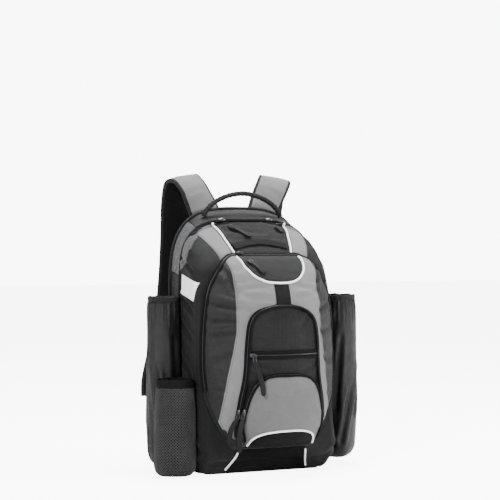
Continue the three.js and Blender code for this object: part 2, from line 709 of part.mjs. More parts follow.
// The main zip runs over the top, and plain cloth closes the band below its ends
function addMainZip() {
  const gap = SEAM_GAP / 2;
  const ring = solidOf(loft(bodyBand([ZIP_FRONT + gap, ZIP_BACK - gap], CLOTH), true));
  const far = 2 * BODY_HALF;
  const cutAt = (z, up) => alongY([[-far, z], [far, z], [far, up], [-far, up]], 0, BACK_Y);
  const over = cutAt(ZIP_END_Z + gap, 2 * BACK_TOP);
  const under = cutAt(-far, ZIP_END_Z - gap);
  add('main_zip_tape', geometryOf(ring.intersect(over)), 'dark');
  add('side_join', geometryOf(ring.intersect(under)), 'black');
  const [fore, aft] = [ZIP_FRONT, ZIP_BACK].map((y) => bodyLoop(y, topAt(y), powerAt(y), 0));
  const middles = fore.map((point, i) => point.clone().lerp(aft[i], 0.5));
  const seats = middles.slice(0, ARC_STEPS + 1).map((point, i) => {
    const before = middles[Math.max(i - 1, 0)];
    const after = middles[Math.min(i + 1, ARC_STEPS)];
    const along = new THREE.Vector3().subVectors(after, before);
    const across = new THREE.Vector3().subVectors(aft[i], fore[i]);
    return { point, normal: new THREE.Vector3().crossVectors(across, along).normalize() };
  });
  add('main_zip_coil', bead(seats, ZIP_TAPE / 2, WEBBING_THICK), 'plastic');
  const overCoil = SEAT_GAP + WEBBING_THICK + SEAT_GAP;
  for (const name of ['main_left', 'main_right']) {
    addSlider(name, seatWhere(seats, 'x', SLIDER_SPOTS[name]), overCoil);
    addPull(name, PULL_SEATS[name].map(([x, z]) => onSurface(trayY, x, z)), SEAT_GAP);
  }
}

const bandX = (z) => {
  const share = clamp((z - BAND_LOW_Z) / (ZIP_TOP - BAND_LOW_Z), -0.4, 1.1);
  return BAND_LOW_X + (BAND_PIPING_X - BAND_LOW_X) * share;
};

function addTray() {
  const tray = solidOf(sheet(trayGrid(0), trayGrid(CLOTH)));
  const low = BAND_LOW_Z - 26;
  const high = ZIP_TOP + 5;
  const bandRight = [[bandX(low), low], [bandX(low) + BAND_LOW_WIDTH, low],
    [bandX(BAND_LOW_Z) + BAND_LOW_WIDTH, BAND_LOW_Z], [bandX(high) + BAND_WIDTH_TOP + 8, high - 10],
    [bandX(high), high]];
  const bandLeft = bandRight.map(([x, z]) => [-x, z]);
  const forward = (outline) => alongY(outline, -BODY_DEPTH, ZIP_Y);
  const toLeft = (outline) => alongX(outline, -2 * BODY_HALF, -BODY_HALF / 2);
  const toRight = (outline) => alongX(outline, BODY_HALF / 2, 2 * BODY_HALF);
  const one = split(tray, bandRight, forward);
  const two = split(one.rest, bandLeft, forward);
  const three = split(two.rest, WEDGE, toLeft);
  const four = split(three.rest, WEDGE, toRight);
  const five = split(four.rest, FLASH, toLeft);
  add('main_front', geometryOf(five.rest), 'black');
  add('top_band_right', geometryOf(one.panel), 'grey');
  add('top_band_left', geometryOf(two.panel), 'grey');
  add('side_wedge_left', geometryOf(three.panel), 'grey');
  add('side_wedge_right', geometryOf(four.panel), 'grey');
  add('side_flash', geometryOf(five.panel), 'white');

  for (const [name, side] of [['left', -1], ['right', 1]]) {
    const line = Array.from({ length: 9 }, (_, i) => {
      const z = BAND_LOW_Z + 3 + (ZIP_TOP - BAND_LOW_Z - 7) * (i / 8);
      return onSurface(trayY, side * (bandX(z) - WHITE_R), z);
    });
    add(`top_piping_${name}`, tube(line.map(({ point, normal }) => point.clone()
      .addScaledVector(normal, WHITE_R + SEAT_GAP)), WHITE_R, false), 'white');
  }
  const web = Array.from({ length: 13 }, (_, i) => {
    const x = -WEB_BAND_HALF + (2 * WEB_BAND_HALF * i) / 12;
    const z = WEB_BAND_Z - WEB_BAND_DROP * (x / WEB_BAND_HALF) ** 2;
    return onSurface(trayY, x, z);
  });
  add('top_webbing', bead(web, WEB_BAND_WIDTH, WEBBING_THICK), 'dark');
}

function addFrontPocket() {
  const { bottom, top, half } = FRONT_POCKET;
  const shell = pocketShell(front, SOFT_SHARES, behind(trayGrid(0), 1));
  const edge = FACE_EDGE.map((row) => [row.half * half, bottom + row.up * (top - bottom)]);
  const forward = (outline) => alongY(outline, -2 * BODY_DEPTH, 0);
  const faceCut = split(shell, bothSides(edge), forward);
  const crownLine = [];
  for (let i = 0; i <= 6; i += 1) {
    const angle = (Math.PI * i) / 12;
    crownLine.push([CROWN_HALF * Math.sin(angle) ** 0.75,
      CROWN_BOTTOM + (top - CROWN_BOTTOM) * (1 - Math.cos(angle)) * 0.98]);
  }
  crownLine.push([CROWN_HALF + 2, top + 8]);
  const crownCut = split(faceCut.panel, bothSides(crownLine.slice(1)), forward);
  const stripLow = MIDDLE_POCKET.top - 10;
  const strip = [[STRIP_HALF, stripLow], [STRIP_HALF, CROWN_BOTTOM + 1]];
  const stripCut = split(crownCut.rest, bothSides(strip), forward);
  add('front_pocket_sides', geometryOf(faceCut.rest), 'black');
  add('front_pocket_face', geometryOf(stripCut.rest), 'grey');
  add('crown_panel', geometryOf(crownCut.panel), 'black');
  add('centre_strip', geometryOf(stripCut.panel), 'dark');

  const uRight = crownLine.slice(0, 7).filter(([, z]) => z < top - 3);
  const uLine = [...uRight.map(([x, z]) => [-x, z]).reverse(), ...uRight.slice(1)];
  const seats = uLine.map(([x, z]) => onSurface(front.y, x, z));
  const path = smoothSeats(seats, 18).map(({ point, normal }) => point.clone()
    .addScaledVector(normal, WHITE_R + SEAT_GAP));
  add('crown_piping', tube(path, WHITE_R, false), 'white');
}

function addMiddlePocket() {
  const carrierSpace = behind(pocketGrid(front, SOFT_SHARES, 0), 0);
  add('middle_pocket', geometryOf(pocketShell(middle, BOX_SHARES, carrierSpace)), 'black');
  const line = Array.from({ length: 11 }, (_, i) => {
    const x = -FLAT_ZIP_HALF + (2 * FLAT_ZIP_HALF * i) / 10;
    return onSurface(middle.y, x, FLAT_ZIP_Z);
  });
  add('flat_zip', bead(line, FLAT_ZIP_WIDTH, WEBBING_THICK), 'dark');
}

function addLowerPocket() {
  const shell = pocketShell(lower, BOX_SHARES, behind(pocketGrid(middle, BOX_SHARES, 0), 0));
  const arch = [];
  for (let i = 0; i <= 6; i += 1) {
    const angle = (Math.PI * i) / 12;
    arch.push([ARCH_HALF * Math.cos(angle) ** 0.6,
      LOWER_POCKET.bottom + (ARCH_TOP - LOWER_POCKET.bottom) * Math.sin(angle) ** 0.8]);
  }
  const cutLine = [[ARCH_HALF, LOWER_POCKET.bottom - 9], ...arch.slice(0, 6)];
  const forward = (outline) => alongY(outline, -2 * BODY_DEPTH, 0);
  const archCut = split(shell, bothSides(cutLine), forward);
  add('lower_pocket_face', geometryOf(archCut.rest), 'grey');
  add('lower_pocket_base', geometryOf(archCut.panel), 'dark');
  const right = arch.slice(0, 6).filter(([, z]) => z > LOWER_POCKET.bottom + 1);
  const both = [...right.map(([x, z]) => [-x, z]), ...[...right].reverse()];
  const seats = smoothSeats(both.map(([x, z]) => onSurface(lower.y, x, z)), 18);
  add('lower_piping', tube(seats.map(({ point, normal }) => point.clone()
    .addScaledVector(normal, WHITE_R + SEAT_GAP)), WHITE_R, false), 'white');
}

// The seat where a path first crosses a value along one axis, and the way the path runs there
function seatWhere(seats, axis, value) {
  const i = seats.findIndex((seat, k) => k > 0
    && (seats[k - 1].point[axis] - value) * (seat.point[axis] - value) <= 0);
  const [a, b] = [seats[i - 1], seats[i]];
  const t = (value - a.point[axis]) / (b.point[axis] - a.point[axis]);
  return {
    point: a.point.clone().lerp(b.point, t),
    normal: a.normal.clone().lerp(b.normal, t).normalize(),
    along: new THREE.Vector3().subVectors(b.point, a.point).normalize(),
  };
}

// A slider on a zip: a six-sided block, narrower towards its nose
function addSlider(name, { point, normal, along }, lift) {
  const shape = [{ at: -0.5, size: 0.8 }, { at: -0.1, size: 1 }, { at: 0.5, size: 0.65 }];
  const seats = shape.map(({ at, size }) => ({
    point: point.clone().addScaledVector(along, at * SLIDER.length), normal, size,
  }));
  add(`slider_${name}`, bead(seats, SLIDER.width, SLIDER.height, lift), 'plastic');
}

function addPull(name, seats, lift) {
  add(`pull_${name}`, bead(seats, PULL.width, PULL.thick, lift), 'dark');
}

// Zips run up the pockets' edges at the sides and over their tops
function addPocketZips() {
  const overZip = SEAT_GAP + ZIP_THICK + SEAT_GAP;
  const frontSeats = edgeSeats(front, SOFT_SHARES, 1, 0.3);
  const middleSeats = edgeSeats(middle, BOX_SHARES, 2, 0.2);
  const lowerSeats = edgeSeats(lower, BOX_SHARES, 2, 0.1);
  add('front_zip', bead(frontSeats, ZIP_WIDTH, ZIP_THICK), 'dark');
  add('middle_zip', bead(middleSeats, ZIP_WIDTH, ZIP_THICK, SEAT_GAP + SEAM_GAP), 'dark');
  add('lower_zip', bead(lowerSeats, ZIP_WIDTH, ZIP_THICK, SEAT_GAP + SEAM_GAP), 'dark');
  const seats = {
    front: { seat: seatWhere(frontSeats, 'x', SLIDER_SPOTS.front), lift: overZip },
    middle: { seat: seatWhere(middleSeats, 'z', SLIDER_SPOTS.middle), lift: overZip + SEAM_GAP },
    lower: { seat: seatWhere(lowerSeats, 'z', SLIDER_SPOTS.lower), lift: overZip + SEAM_GAP },
    flat: {
      seat: seatWhere([-1, 1].map((x) => onSurface(middle.y, SLIDER_SPOTS.flat + x, FLAT_ZIP_Z)),
        'x', SLIDER_SPOTS.flat),
      lift: SEAT_GAP + WEBBING_THICK + SEAT_GAP,
    },
  };
  for (const [name, { seat, lift }] of Object.entries(seats)) {
    addSlider(name, seat, lift);
    if (PULL_LINES[name]) addPull(name, hungLine(name, seat, lift), 0);
  }
  addPull('front', PULL_SEATS.front.map(([x, z]) => onSurface(front.y, x, z)), SEAT_GAP);
}

// A pull's line: over its slider, past the slider's edge and down
function hungLine(name, { point, normal }, lift) {
  const look = new THREE.Vector3(...PULL_LINES[name].look);
  const over = point.clone().addScaledVector(normal, lift + SLIDER.height + SEAM_GAP);
  const down = new THREE.Vector3(0, 0, -1).addScaledVector(normal, normal.z).normalize();
  const past = over.clone().addScaledVector(down, 0.55 * SLIDER.length);
  const rest = PULL_LINES[name].line.map((spot) => new THREE.Vector3(...spot));
  return [over, past].map((spot) => ({ point: spot, normal }))
    .concat(rest.map((spot) => ({ point: spot, normal: look })));
}

// A flat bar swept through stations that hold a point, an across vector, a width and a thickness
function bar(stations, edge) {
  const rings = stations.map(({ point, across, width, thick }, i) => {
    const before = stations[Math.max(i - 1, 0)].point;
    const after = stations[Math.min(i + 1, stations.length - 1)].point;
    const along = new THREE.Vector3().subVectors(after, before).normalize();
    const wide = across.clone().addScaledVector(along, -across.dot(along)).normalize();
    const up = new THREE.Vector3().crossVectors(wide, along).normalize();
    const corners = [[-0.5, -edge], [-0.5 + 0.04, -0.5], [0, -0.5], [0.5 - 0.04, -0.5], [0.5, -edge],
      [0.5, edge], [0.5 - 0.04, 0.5], [0, 0.5], [-0.5 + 0.04, 0.5], [-0.5, edge]];
    return corners.map(([a, b]) => point.clone().addScaledVector(wide, a * width)
      .addScaledVector(up, b * thick));
  });
  return loft(rings);
}

function strapStations(line, side, width, thick, count) {
  const points = new THREE.CatmullRomCurve3(
    line.map(({ x, y, z }) => new THREE.Vector3(side * x, y, z)), false, 'centripetal');
  const leans = new THREE.CatmullRomCurve3(
    line.map(({ turn, drop }) => new THREE.Vector3(side, turn, drop)), false, 'centripetal');
  return Array.from({ length: count + 1 }, (_, i) => ({
    point: points.getPoint(i / count),
    across: leans.getPoint(i / count).multiplyScalar(side),
    width,
    thick,
  }));
}

// A flat buckle with two slots, held between the strap's end and the webbing
function buckle() {
  const { width, height, thick, slotWide, slotHigh, slotRise } = BUCKLE;
  const box = (shape, halfWide, low, high) => {
    shape.moveTo(-halfWide, low);
    shape.lineTo(halfWide, low);
    shape.lineTo(halfWide, high);
    shape.lineTo(-halfWide, high);
    return shape;
  };
  const plate = box(new THREE.Shape(), width / 2, -height / 2, height / 2);
  for (const rise of [-slotRise, slotRise]) {
    plate.holes.push(box(new THREE.Path(), slotWide / 2, rise - slotHigh / 2, rise + slotHigh / 2));
  }
  const geometry = new THREE.ExtrudeGeometry(plate, { depth: thick, bevelEnabled: false });
  return geometry.translate(0, 0, -thick / 2).rotateX(Math.PI / 2);
}

function addStraps() {
  for (const [name, side] of [['left', -1], ['right', 1]]) {
    add(`strap_${name}`, bar(strapStations(STRAP_LINE, side, STRAP_WIDTH, STRAP_THICK, 18), 0.2),
      'grey');
    add(`webbing_${name}`, bar(strapStations(WEBBING_LINE, side, WEBBING_WIDTH, WEBBING_THICK, 8),
      0.2), 'dark');
    const geometry = buckle();
    geometry.rotateX(-BUCKLE.lean);
    geometry.translate(side * BUCKLE.x, BUCKLE.y, BUCKLE.z);
    add(`buckle_${name}`, geometry, 'plastic');
  }
}

function addHandle() {
  const right = HANDLE_LINE.map(([x, z]) => new THREE.Vector3(x, HANDLE_Y, z));
  const left = right.slice(0, -1).map(({ x, y, z }) => new THREE.Vector3(-x, y, z));
  const curve = new THREE.CatmullRomCurve3([...left, ...right.reverse()], false, 'centripetal');
  add('grab_handle', tube(curve.getPoints(16), HANDLE_R, false, 8), 'black');
}

function addBasePiping() {
  for (const [name, side] of [['left', -1], ['right', 1]]) {
    const seats = BASE_PIPING_LINE.map(([x, z]) => onSurface(trayY, side * x, z));
    const path = smoothSeats(seats, 6).map(({ point, normal }) => point.clone()
      .addScaledVector(normal, WHITE_R + SEAT_GAP));
    add(`base_piping_${name}`, tube(path, WHITE_R, false), 'white');
  }
}

// A closed section round a sleeve at a height share, flattened where it lies on the bag's side
function sleeveRing(sleeve, size, inset, count, ripple) {
  const wallX = BODY_HALF + SEAT_GAP + inset;
  const halfWide = sleeve.reach / 2 + 1;
  const centreX = BODY_HALF + SEAT_GAP + sleeve.reach - halfWide;
  return Array.from({ length: count }, (_, i) => {
    const angle = (2 * Math.PI * i) / count;
    const wave = ripple * (i % 2 === 0 ? 1 : -1);
    const x = centreX + (halfWide * size - inset + wave) * Math.cos(angle);
    const y = sleeve.centreY + (sleeve.halfDepth * size - inset + wave) * Math.sin(angle);
    return [sleeve.side * Math.max(x, wallX), y];
  });
}

const ringAt = (ring, z) => ring.map(([x, y]) => new THREE.Vector3(x, y, z));

// An open sack: outer rings up, the rim, inner rings down, and a floor
function sack(sleeve, rows, bottom, rim, cloth, count, gather) {
  const at = (row, inset) => {
    const z = Math.max(bottom + row.up * (rim - bottom), bottom + inset);
    const ripple = row.up > 0.9 && row.up < 1 ? gather : 0;
    return ringAt(sleeveRing(sleeve, row.size, inset, count, ripple), z);
  };
  return loft([...rows.map((row) => at(row, 0)), ...[...rows].reverse().map((row) => at(row, cloth))]);
}

function hoop(sleeve, size, low, high, thick, count) {
  const out = ringAt(sleeveRing(sleeve, size, 0, count, 0), 0);
  const within = ringAt(sleeveRing(sleeve, size, thick, count, 0), 0);
  const lift = (ring, z) => ring.map((point) => point.clone().setZ(z));
  return loft([lift(out, low), lift(out, high), lift(within, high), lift(within, low)], true);
}

function addSleeves() {
  for (const [name, sleeve, count] of [['left', LEFT_SLEEVE, 16], ['right', RIGHT_SLEEVE, 20]]) {
    const rim = SLEEVE_RIM - HEM_HEIGHT;
    add(`bat_sleeve_${name}`, sack(sleeve, SLEEVE_ROWS, SLEEVE_BOTTOM, rim, SLEEVE_CLOTH, count, 0.7),
      'dark');
    add(`sleeve_hem_${name}`, hoop(sleeve, SLEEVE_ROWS[SLEEVE_ROWS.length - 1].size,
      rim + SEAM_GAP, SLEEVE_RIM, HEM_THICK, count), 'dark');
  }
  const rim = BOTTLE_RIM - BOTTLE_BAND;
  add('bottle_pocket', sack(BOTTLE, BOTTLE_ROWS, BOTTLE_BOTTOM, rim, SLEEVE_CLOTH, 16, 0), 'mesh');
  add('bottle_band', hoop(BOTTLE, BOTTLE_ROWS[BOTTLE_ROWS.length - 1].size, rim + SEAM_GAP,
    BOTTLE_RIM, HEM_THICK, 16), 'dark');
}

addBody();
addTray();
addFrontPocket();
addMiddlePocket();
addLowerPocket();
addPocketZips();
addSleeves();
addStraps();
addHandle();
addBasePiping();

export default bag;
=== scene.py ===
"""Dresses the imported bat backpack: cloth panels, zips, pipings, net, straps and studio."""

import math

import bmesh
import bpy
import numpy as np
from mathutils import Matrix, Vector


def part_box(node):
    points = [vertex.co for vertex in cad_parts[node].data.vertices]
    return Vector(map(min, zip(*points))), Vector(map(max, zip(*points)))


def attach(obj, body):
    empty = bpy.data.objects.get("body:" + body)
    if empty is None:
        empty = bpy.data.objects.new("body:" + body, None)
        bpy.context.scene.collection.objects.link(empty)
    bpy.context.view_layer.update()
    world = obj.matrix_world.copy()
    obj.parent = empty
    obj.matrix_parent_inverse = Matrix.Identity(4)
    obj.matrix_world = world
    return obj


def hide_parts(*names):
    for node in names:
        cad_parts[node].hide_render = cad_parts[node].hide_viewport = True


bl_info = {
    "name": "Bat Backpack",
    "version": (1, 0, 0),
    "blender": (4, 5, 0),
    "location": "3D View > Sidebar > Bat Backpack",
    "description": "Builds the cloth, zips, trims, straps and studio of a bat backpack",
    "category": "Object",
}

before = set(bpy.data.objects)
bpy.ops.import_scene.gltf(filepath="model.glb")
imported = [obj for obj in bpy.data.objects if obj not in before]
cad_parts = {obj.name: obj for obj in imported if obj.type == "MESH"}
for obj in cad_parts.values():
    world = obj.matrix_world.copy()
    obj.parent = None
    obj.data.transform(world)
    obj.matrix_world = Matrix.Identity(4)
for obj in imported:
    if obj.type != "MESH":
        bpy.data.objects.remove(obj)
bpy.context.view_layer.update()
MM = 0.001

# Main compartment, in millimetres
BODY_HALF = 138
BACK_TOP = 489
ZIP_TOP = 463
SHOULDER_Z = 330
BASE_THICK = 2.3
BASE_CORNER = 22
BASE_TUCK = 12
BACK_Y = 67
BODY_DEPTH = 135
BACK_PAD = 8
ZIP_Y = 15
ZIP_TAPE = 8
ZIP_POWER = 3.7
BACK_POWER = 3
ZIP_END_Z = 300
EDGE_ROUND = 15
TOP_ROUND = 45
SEAT_GAP = 0.6
TRAY_BOTTOM = 2.6
ZIP_FRONT = ZIP_Y - ZIP_TAPE / 2
ZIP_BACK = ZIP_Y + ZIP_TAPE / 2
FLANK_Y = 7.5
POCKET_STAND = 2.3
WALL_SHARE = 0.16
BEND_SHARE = 0.1
LOOP_STEPS = 721
SIDES = (("left", -1), ("right", 1))

TRAY_FACE = [
    (0, 0.94), (0.017, 0.97), (0.104, 1.17), (0.216, 1.12), (0.43, 1.03), (0.71, 1),
    (0.8, 0.985), (0.864, 0.91), (0.929, 0.705), (0.976, 0.52), (1, 0.437),
]
# Pockets: share of the height, share of the half width, share of the reach
FRONT_ROWS = [
    (0, 0.6, 0.764), (0.023, 0.65, 0.835), (0.071, 0.725, 0.92), (0.142, 0.83, 0.967),
    (0.238, 0.94, 0.995), (0.329, 0.985, 1), (0.456, 1, 1), (0.592, 0.99, 1),
    (0.714, 0.965, 0.988), (0.782, 0.94, 0.97), (0.85, 0.88, 0.93), (0.912, 0.79, 0.863),
    (0.955, 0.71, 0.788), (0.98, 0.63, 0.726), (1, 0.53, 0.627),
]
MIDDLE_ROWS = [
    (0, 0.8, 0.82), (0.03, 0.86, 0.904), (0.1, 0.97, 0.963), (0.2, 1, 0.99),
    (0.325, 0.966, 1), (0.436, 0.9, 1), (0.547, 0.85, 1), (0.688, 0.83, 1), (0.78, 0.81, 1),
    (0.887, 0.76, 0.993), (0.941, 0.65, 0.982), (0.979, 0.44, 0.966), (1, 0.18, 0.956),
]
LOWER_ROWS = [
    (0, 0.79, 0.8), (0.045, 0.84, 0.85), (0.112, 0.89, 0.903), (0.186, 0.93, 0.936),
    (0.297, 0.98, 0.97), (0.446, 0.95, 0.99), (0.594, 0.9, 1), (0.698, 0.86, 1),
    (0.802, 0.79, 1), (0.892, 0.69, 0.987), (0.951, 0.55, 0.966), (1, 0.28, 0.934),
]
# Grey face of the front pocket: share of the height, share of the half width
FACE_EDGE = [
    (0.035, 0.54), (0.068, 0.64), (0.145, 0.815), (0.218, 0.807), (0.374, 0.748), (0.516, 0.678),
    (0.63, 0.637), (0.77, 0.63), (0.844, 0.626), (0.926, 0.637), (1.03, 0.66),
]
# Grey wedge on the side: height, depth of its front edge; and the white flash as (y, z)
WEDGE_EDGE = [(371, 15), (380, -4), (393, -14), (413, -16), (433, -8), (447, 15)]
FLASH = [(4, 366), (-60, 351), (-48, 317), (4, 331)]

CROWN_HALF = 64
CROWN_BOTTOM = 350
STRIP_HALF = 14.5
ARCH_HALF = 66
ARCH_TOP = 86
FLAT_ZIP_Z = 222
FLAT_ZIP_HALF = 68
BAND_X = (60, 78)
BAND_Z = (400, 463)
BAND_WIDTH = 32
PATCH_Z = (369, 460)
BAND_CLOTH_Z = (372, 461.5)
BAND_TRIM_Z = (401, 461.5)
WEDGE_CLOTH = (371.5, 75)
WEDGE_REAR = 10.9
FACE_Z = (63, 400.2)
STRIP_Z = (300, 349.5)
LOWER_FACE_Z = (58, 182.5)

# Sleeves: share of the height, size of the section
SLEEVE_ROWS = [(0, 0.55), (0.035, 0.82), (0.09, 0.95), (0.3, 1), (0.86, 0.99), (0.95, 0.97),
               (1, 0.93)]
BOTTLE_ROWS = [(0, 0.74), (0.05, 0.93), (0.14, 1), (0.5, 0.99), (0.85, 0.94), (1, 0.88)]
LEFT_SLEEVE = {"side": -1, "reach": 60, "half_depth": 31, "centre_y": 23}
RIGHT_SLEEVE = {"side": 1, "reach": 77, "half_depth": 56, "centre_y": -6}
BOTTLE = {"side": -1, "reach": 76, "half_depth": 38, "centre_y": -49}
SLEEVE_Z = (14, 325)
BOTTLE_Z = (2, 177)

# Half of a zip's section: shares of its half width and of its thickness
ZIP_LIP = [(1, 0), (1, 0.45), (0.86, 0.9), (0.62, 1), (0.36, 0.85), (0.26, 0.35)]
NET_CELLS = 44
NET_ROWS = 32
NET_YARN = 2.1

# Middle line of the right strap and webbing: x, y, z, lean towards the pockets, drop
STRAP_LINE = [
    (52, 72.2, 440, 0, -0.2), (60, 73, 478, 0, -0.24), (74, 75.5, 510, -0.2, -0.22),
    (86, 78, 533, -0.3, -0.2), (96, 87, 546, -0.25, -0.18), (100, 104, 542, -0.15, -0.1),
    (99, 119, 505, 0, 0), (97, 127, 430, 0.1, 0.06), (101, 127, 350, 0.15, 0.08),
    (114, 120, 262, 0.15, 0.05), (136, 110, 190, 0.1, 0), (147, 102, 156, 0.05, 0),
    (149, 98, 132, 0.05, 0),
]
WEBBING_LINE = [
    (148, 92, 116, 0, 0), (146, 86, 88, 0, 0.06), (139, 79, 62, 0, 0.15),
    (128, 73.5, 40, 0, 0.25), (116, 70.5, 24, 0, 0.3),
]
HANDLE_LINE = [(81, 474.3), (76, 484), (65, 495.5), (45, 507.5), (22, 515), (0, 517.5)]
BASE_PIPING_LINE = [(69, 43), (72, 33), (77, 21), (83, 9)]
PULL_LINES = {
    "middle": ((-0.6, -0.8, 0), [(-98, -124, 88), (-96, -112, 58)]),
    "flat": ((0, -1, 0), [(-57, -162.5, 176), (-54, -166, 150)]),
    "lower": ((-0.7, -0.7, 0), [(-92, -147, 80), (-89, -141, 48)]),
}
PULL_SEATS = {
    "main_left": [(-46, 455), (-35, 449), (-23, 441), (-11, 433)],
    "main_right": [(50, 454), (56, 448.5), (62, 442)],
    "front": [(-49, 391), (-42, 384), (-35, 376), (-28, 367)],
}
STRAP_HALF = 32
PAD_HALF = 30.5
PAD_RISE = 4.6
# Half of a strap binding's section: across and up
BINDING = [
    (25.5, 3.4), (28.5, 3.9), (31.2, 2.6), (STRAP_HALF, 0), (31.2, -2.6), (28.5, -3.9),
    (25.5, -3.4), (25.5, -2.2), (30, -1.6), (30, 1.6), (25.5, 2.2),
]
HANDLE_Y = 33
HANDLE_RADIUS = 4.7
LIGHTS = [("key", (-2.4, -2.0, 2.0), 0.7, 170), ("fill", (2.4, -1.6, 1.0), 0.7, 110),
          ("top", (0.3, 0.2, 2.6), 0.9, 150)]
AIM = (0, 0, 0.25)
CAMERA_SHIFT = -0.024

# Fold lines: across and up at both ends, half width, depth
TRAY_FOLDS = [
    (-262, 345, -165, 300, 5, 2.4), (-258, 300, -170, 250, 6, 1.6),
    (-240, 225, -178, 190, 6, 1.5), (-262, 120, -190, 95, 6, 1.4),
    (-225, 405, -160, 372, 5, 1.6), (-180, 60, -120, 30, 6, 1.6),
    (-120, 22, 110, 24, 5, 1.0), (180, 60, 120, 30, 6, 1.6),
    (262, 340, 170, 300, 5, 2.0), (258, 230, 180, 190, 6, 1.5),
    (250, 120, 185, 90, 6, 1.3), (-60, 447, 30, 441, 4, 0.9),
    (-55, 431, 60, 433, 4, 0.7), (70, 452, 20, 428, 4, 0.8),
]
FRONT_FOLDS = [
    (-128, 318, -82, 306, 6, 2.2), (-130, 290, -84, 286, 7, 1.9),
    (-132, 262, -84, 270, 7, 1.6), (-134, 215, -92, 232, 8, 1.5),
    (-133, 180, -98, 160, 8, 1.5), (-126, 120, -104, 150, 6, 1.3),
    (128, 318, 84, 300, 6, 2.0), (131, 270, 86, 262, 7, 1.6),
    (133, 205, 92, 215, 8, 1.5), (126, 120, 104, 150, 6, 1.3),
    (-100, 385, -84, 340, 5, 1.5), (100, 385, 84, 340, 5, 1.4),
    (-88, 84, 88, 62, 7, 1.2), (-80, 56, 80, 58, 5, 0.9),
    (-30, 346, -84, 336, 5, 1.3), (30, 346, 84, 336, 5, 1.3),
    (-22, 322, -80, 330, 5, 1.1), (24, 324, 80, 332, 5, 1.0),
    (-60, 300, -84, 315, 5, 1.3), (-40, 388, -80, 372, 5, 0.9),
]
MIDDLE_FOLDS = [
    (-48, 300, -20, 270, 5, 1.2), (52, 292, 26, 268, 5, 1.0), (-62, 248, 60, 244, 5, 0.7),
    (-74, 205, -30, 196, 5, 1.0), (72, 205, 30, 190, 5, 1.0), (-80, 150, -62, 175, 5, 1.3),
    (80, 150, 64, 175, 5, 1.2), (-80, 110, -70, 140, 4, 1.0),
]
LOWER_FOLDS = [
    (-60, 150, -20, 140, 6, 1.2), (58, 156, 24, 150, 6, 1.1), (-66, 100, -40, 120, 6, 1.3),
    (66, 104, 44, 124, 6, 1.1), (-20, 120, 30, 112, 8, 0.8), (0, 178, 6, 150, 6, 0.9),
]
# The same round a sleeve, with across as a share of its girth
SLEEVE_FOLDS = [
    (0.5, 230, 0.6, 130, 5, 2.6), (0.62, 300, 0.55, 235, 5, 2.2), (0.7, 250, 0.66, 120, 6, 2),
    (0.42, 280, 0.5, 180, 6, 2), (0.78, 160, 0.7, 60, 6, 2.2), (0.9, 200, 0.82, 110, 6, 2.2),
    (0.08, 230, 0.12, 100, 6, 1.8), (0.55, 90, 0.66, 50, 6, 2),
]


# Surfaces, the same as the solids'

def fade_in(value, start, span):
    """Share of the way over a span, from 0 to 1."""
    return np.clip((value - start) / span, 0, 1)


def unit(vectors):
    return vectors / np.maximum(np.linalg.norm(vectors, axis=1), 1e-9)[:, None]


def between(ends, share):
    return ends[0] + (ends[1] - ends[0]) * share


def signed_power(value, power):
    return np.sign(value) * np.abs(value) ** power


def gaps_along(points):
    """Distances between each of a path's points and the next."""
    return np.linalg.norm(np.diff(points, axis=0), axis=1)


def curve_between(at, i, knots, values, slopes):
    """Cubic curve from knot i to the next, with given values and slopes."""
    span = knots[i + 1] - knots[i]
    t = (at - knots[i]) / span
    return ((2 * t**3 - 3 * t**2 + 1) * values[i] + (t**3 - 2 * t**2 + t) * span * slopes[i]
            + (3 * t**2 - 2 * t**3) * values[i + 1] + (t**3 - t**2) * span * slopes[i + 1])


def profile(rows, at, column=1):
    """Smooth value of a table's column at a share of the height, with no overshoot."""
    ups = np.array([row[0] for row in rows], float)
    values = np.array([row[column] for row in rows], float)
    at = np.clip(at, ups[0], ups[-1])
    i = np.clip(np.searchsorted(ups, at, side="left") - 1, 0, len(ups) - 2)
    slopes = np.diff(values) / np.diff(ups)
    before, after = slopes[:-1], slopes[1:]
    both = before * after
    total = np.where(both > 0, before + after, 1)
    inner = np.where(both > 0, 2 * both / total, 0)
    tangents = np.concatenate([slopes[:1], inner, slopes[-1:]])
    return curve_between(at, i, ups, values, tangents)


def half_at(z, top, power):
    """Half width of the bag at a height, for an outline that closes at the given top."""
    z = np.asarray(z, float)
    rise = np.clip((z - SHOULDER_Z) / (top - SHOULDER_Z), 0, 1)
    upper = BODY_HALF * (1 - rise**power) ** (1 / power)
    lift = np.clip(1 - (z - BASE_THICK) / BASE_CORNER, 0, 1)
    lower = BODY_HALF - BASE_TUCK * (1 - np.sqrt(1 - lift**2))
    return np.where(z > SHOULDER_Z, upper, lower)


def zip_half(z):
    return half_at(z, ZIP_TOP, ZIP_POWER)


def tray_face_y(z):
    return BACK_Y - BODY_DEPTH * profile(TRAY_FACE, np.asarray(z, float) / ZIP_TOP)


def tray_round(z):
    share = np.clip((z - SHOULDER_Z) / ((ZIP_TOP - SHOULDER_Z) / 2), 0, 1)
    return np.minimum(EDGE_ROUND + (TOP_ROUND - EDGE_ROUND) * share, zip_half(z) * 0.6) + 0.01


def tray_y(x, z):
    """Depth of the main compartment's front at (x, z)."""
    rounding = tray_round(z)
    into = np.clip((np.abs(x) - zip_half(z) + rounding) / rounding, 0, 1)
    return np.minimum(tray_face_y(z) + rounding * (1 - np.sqrt(1 - into**2)), ZIP_FRONT - 3.5)


def tray_x(y, z):
    """Half width of the main compartment's side at (y, z)."""
    rounding = tray_round(z)
    fold = np.clip((y - tray_face_y(z)) / rounding, 0, 1)
    return zip_half(z) - rounding * (1 - np.sqrt(1 - (1 - fold) ** 2))


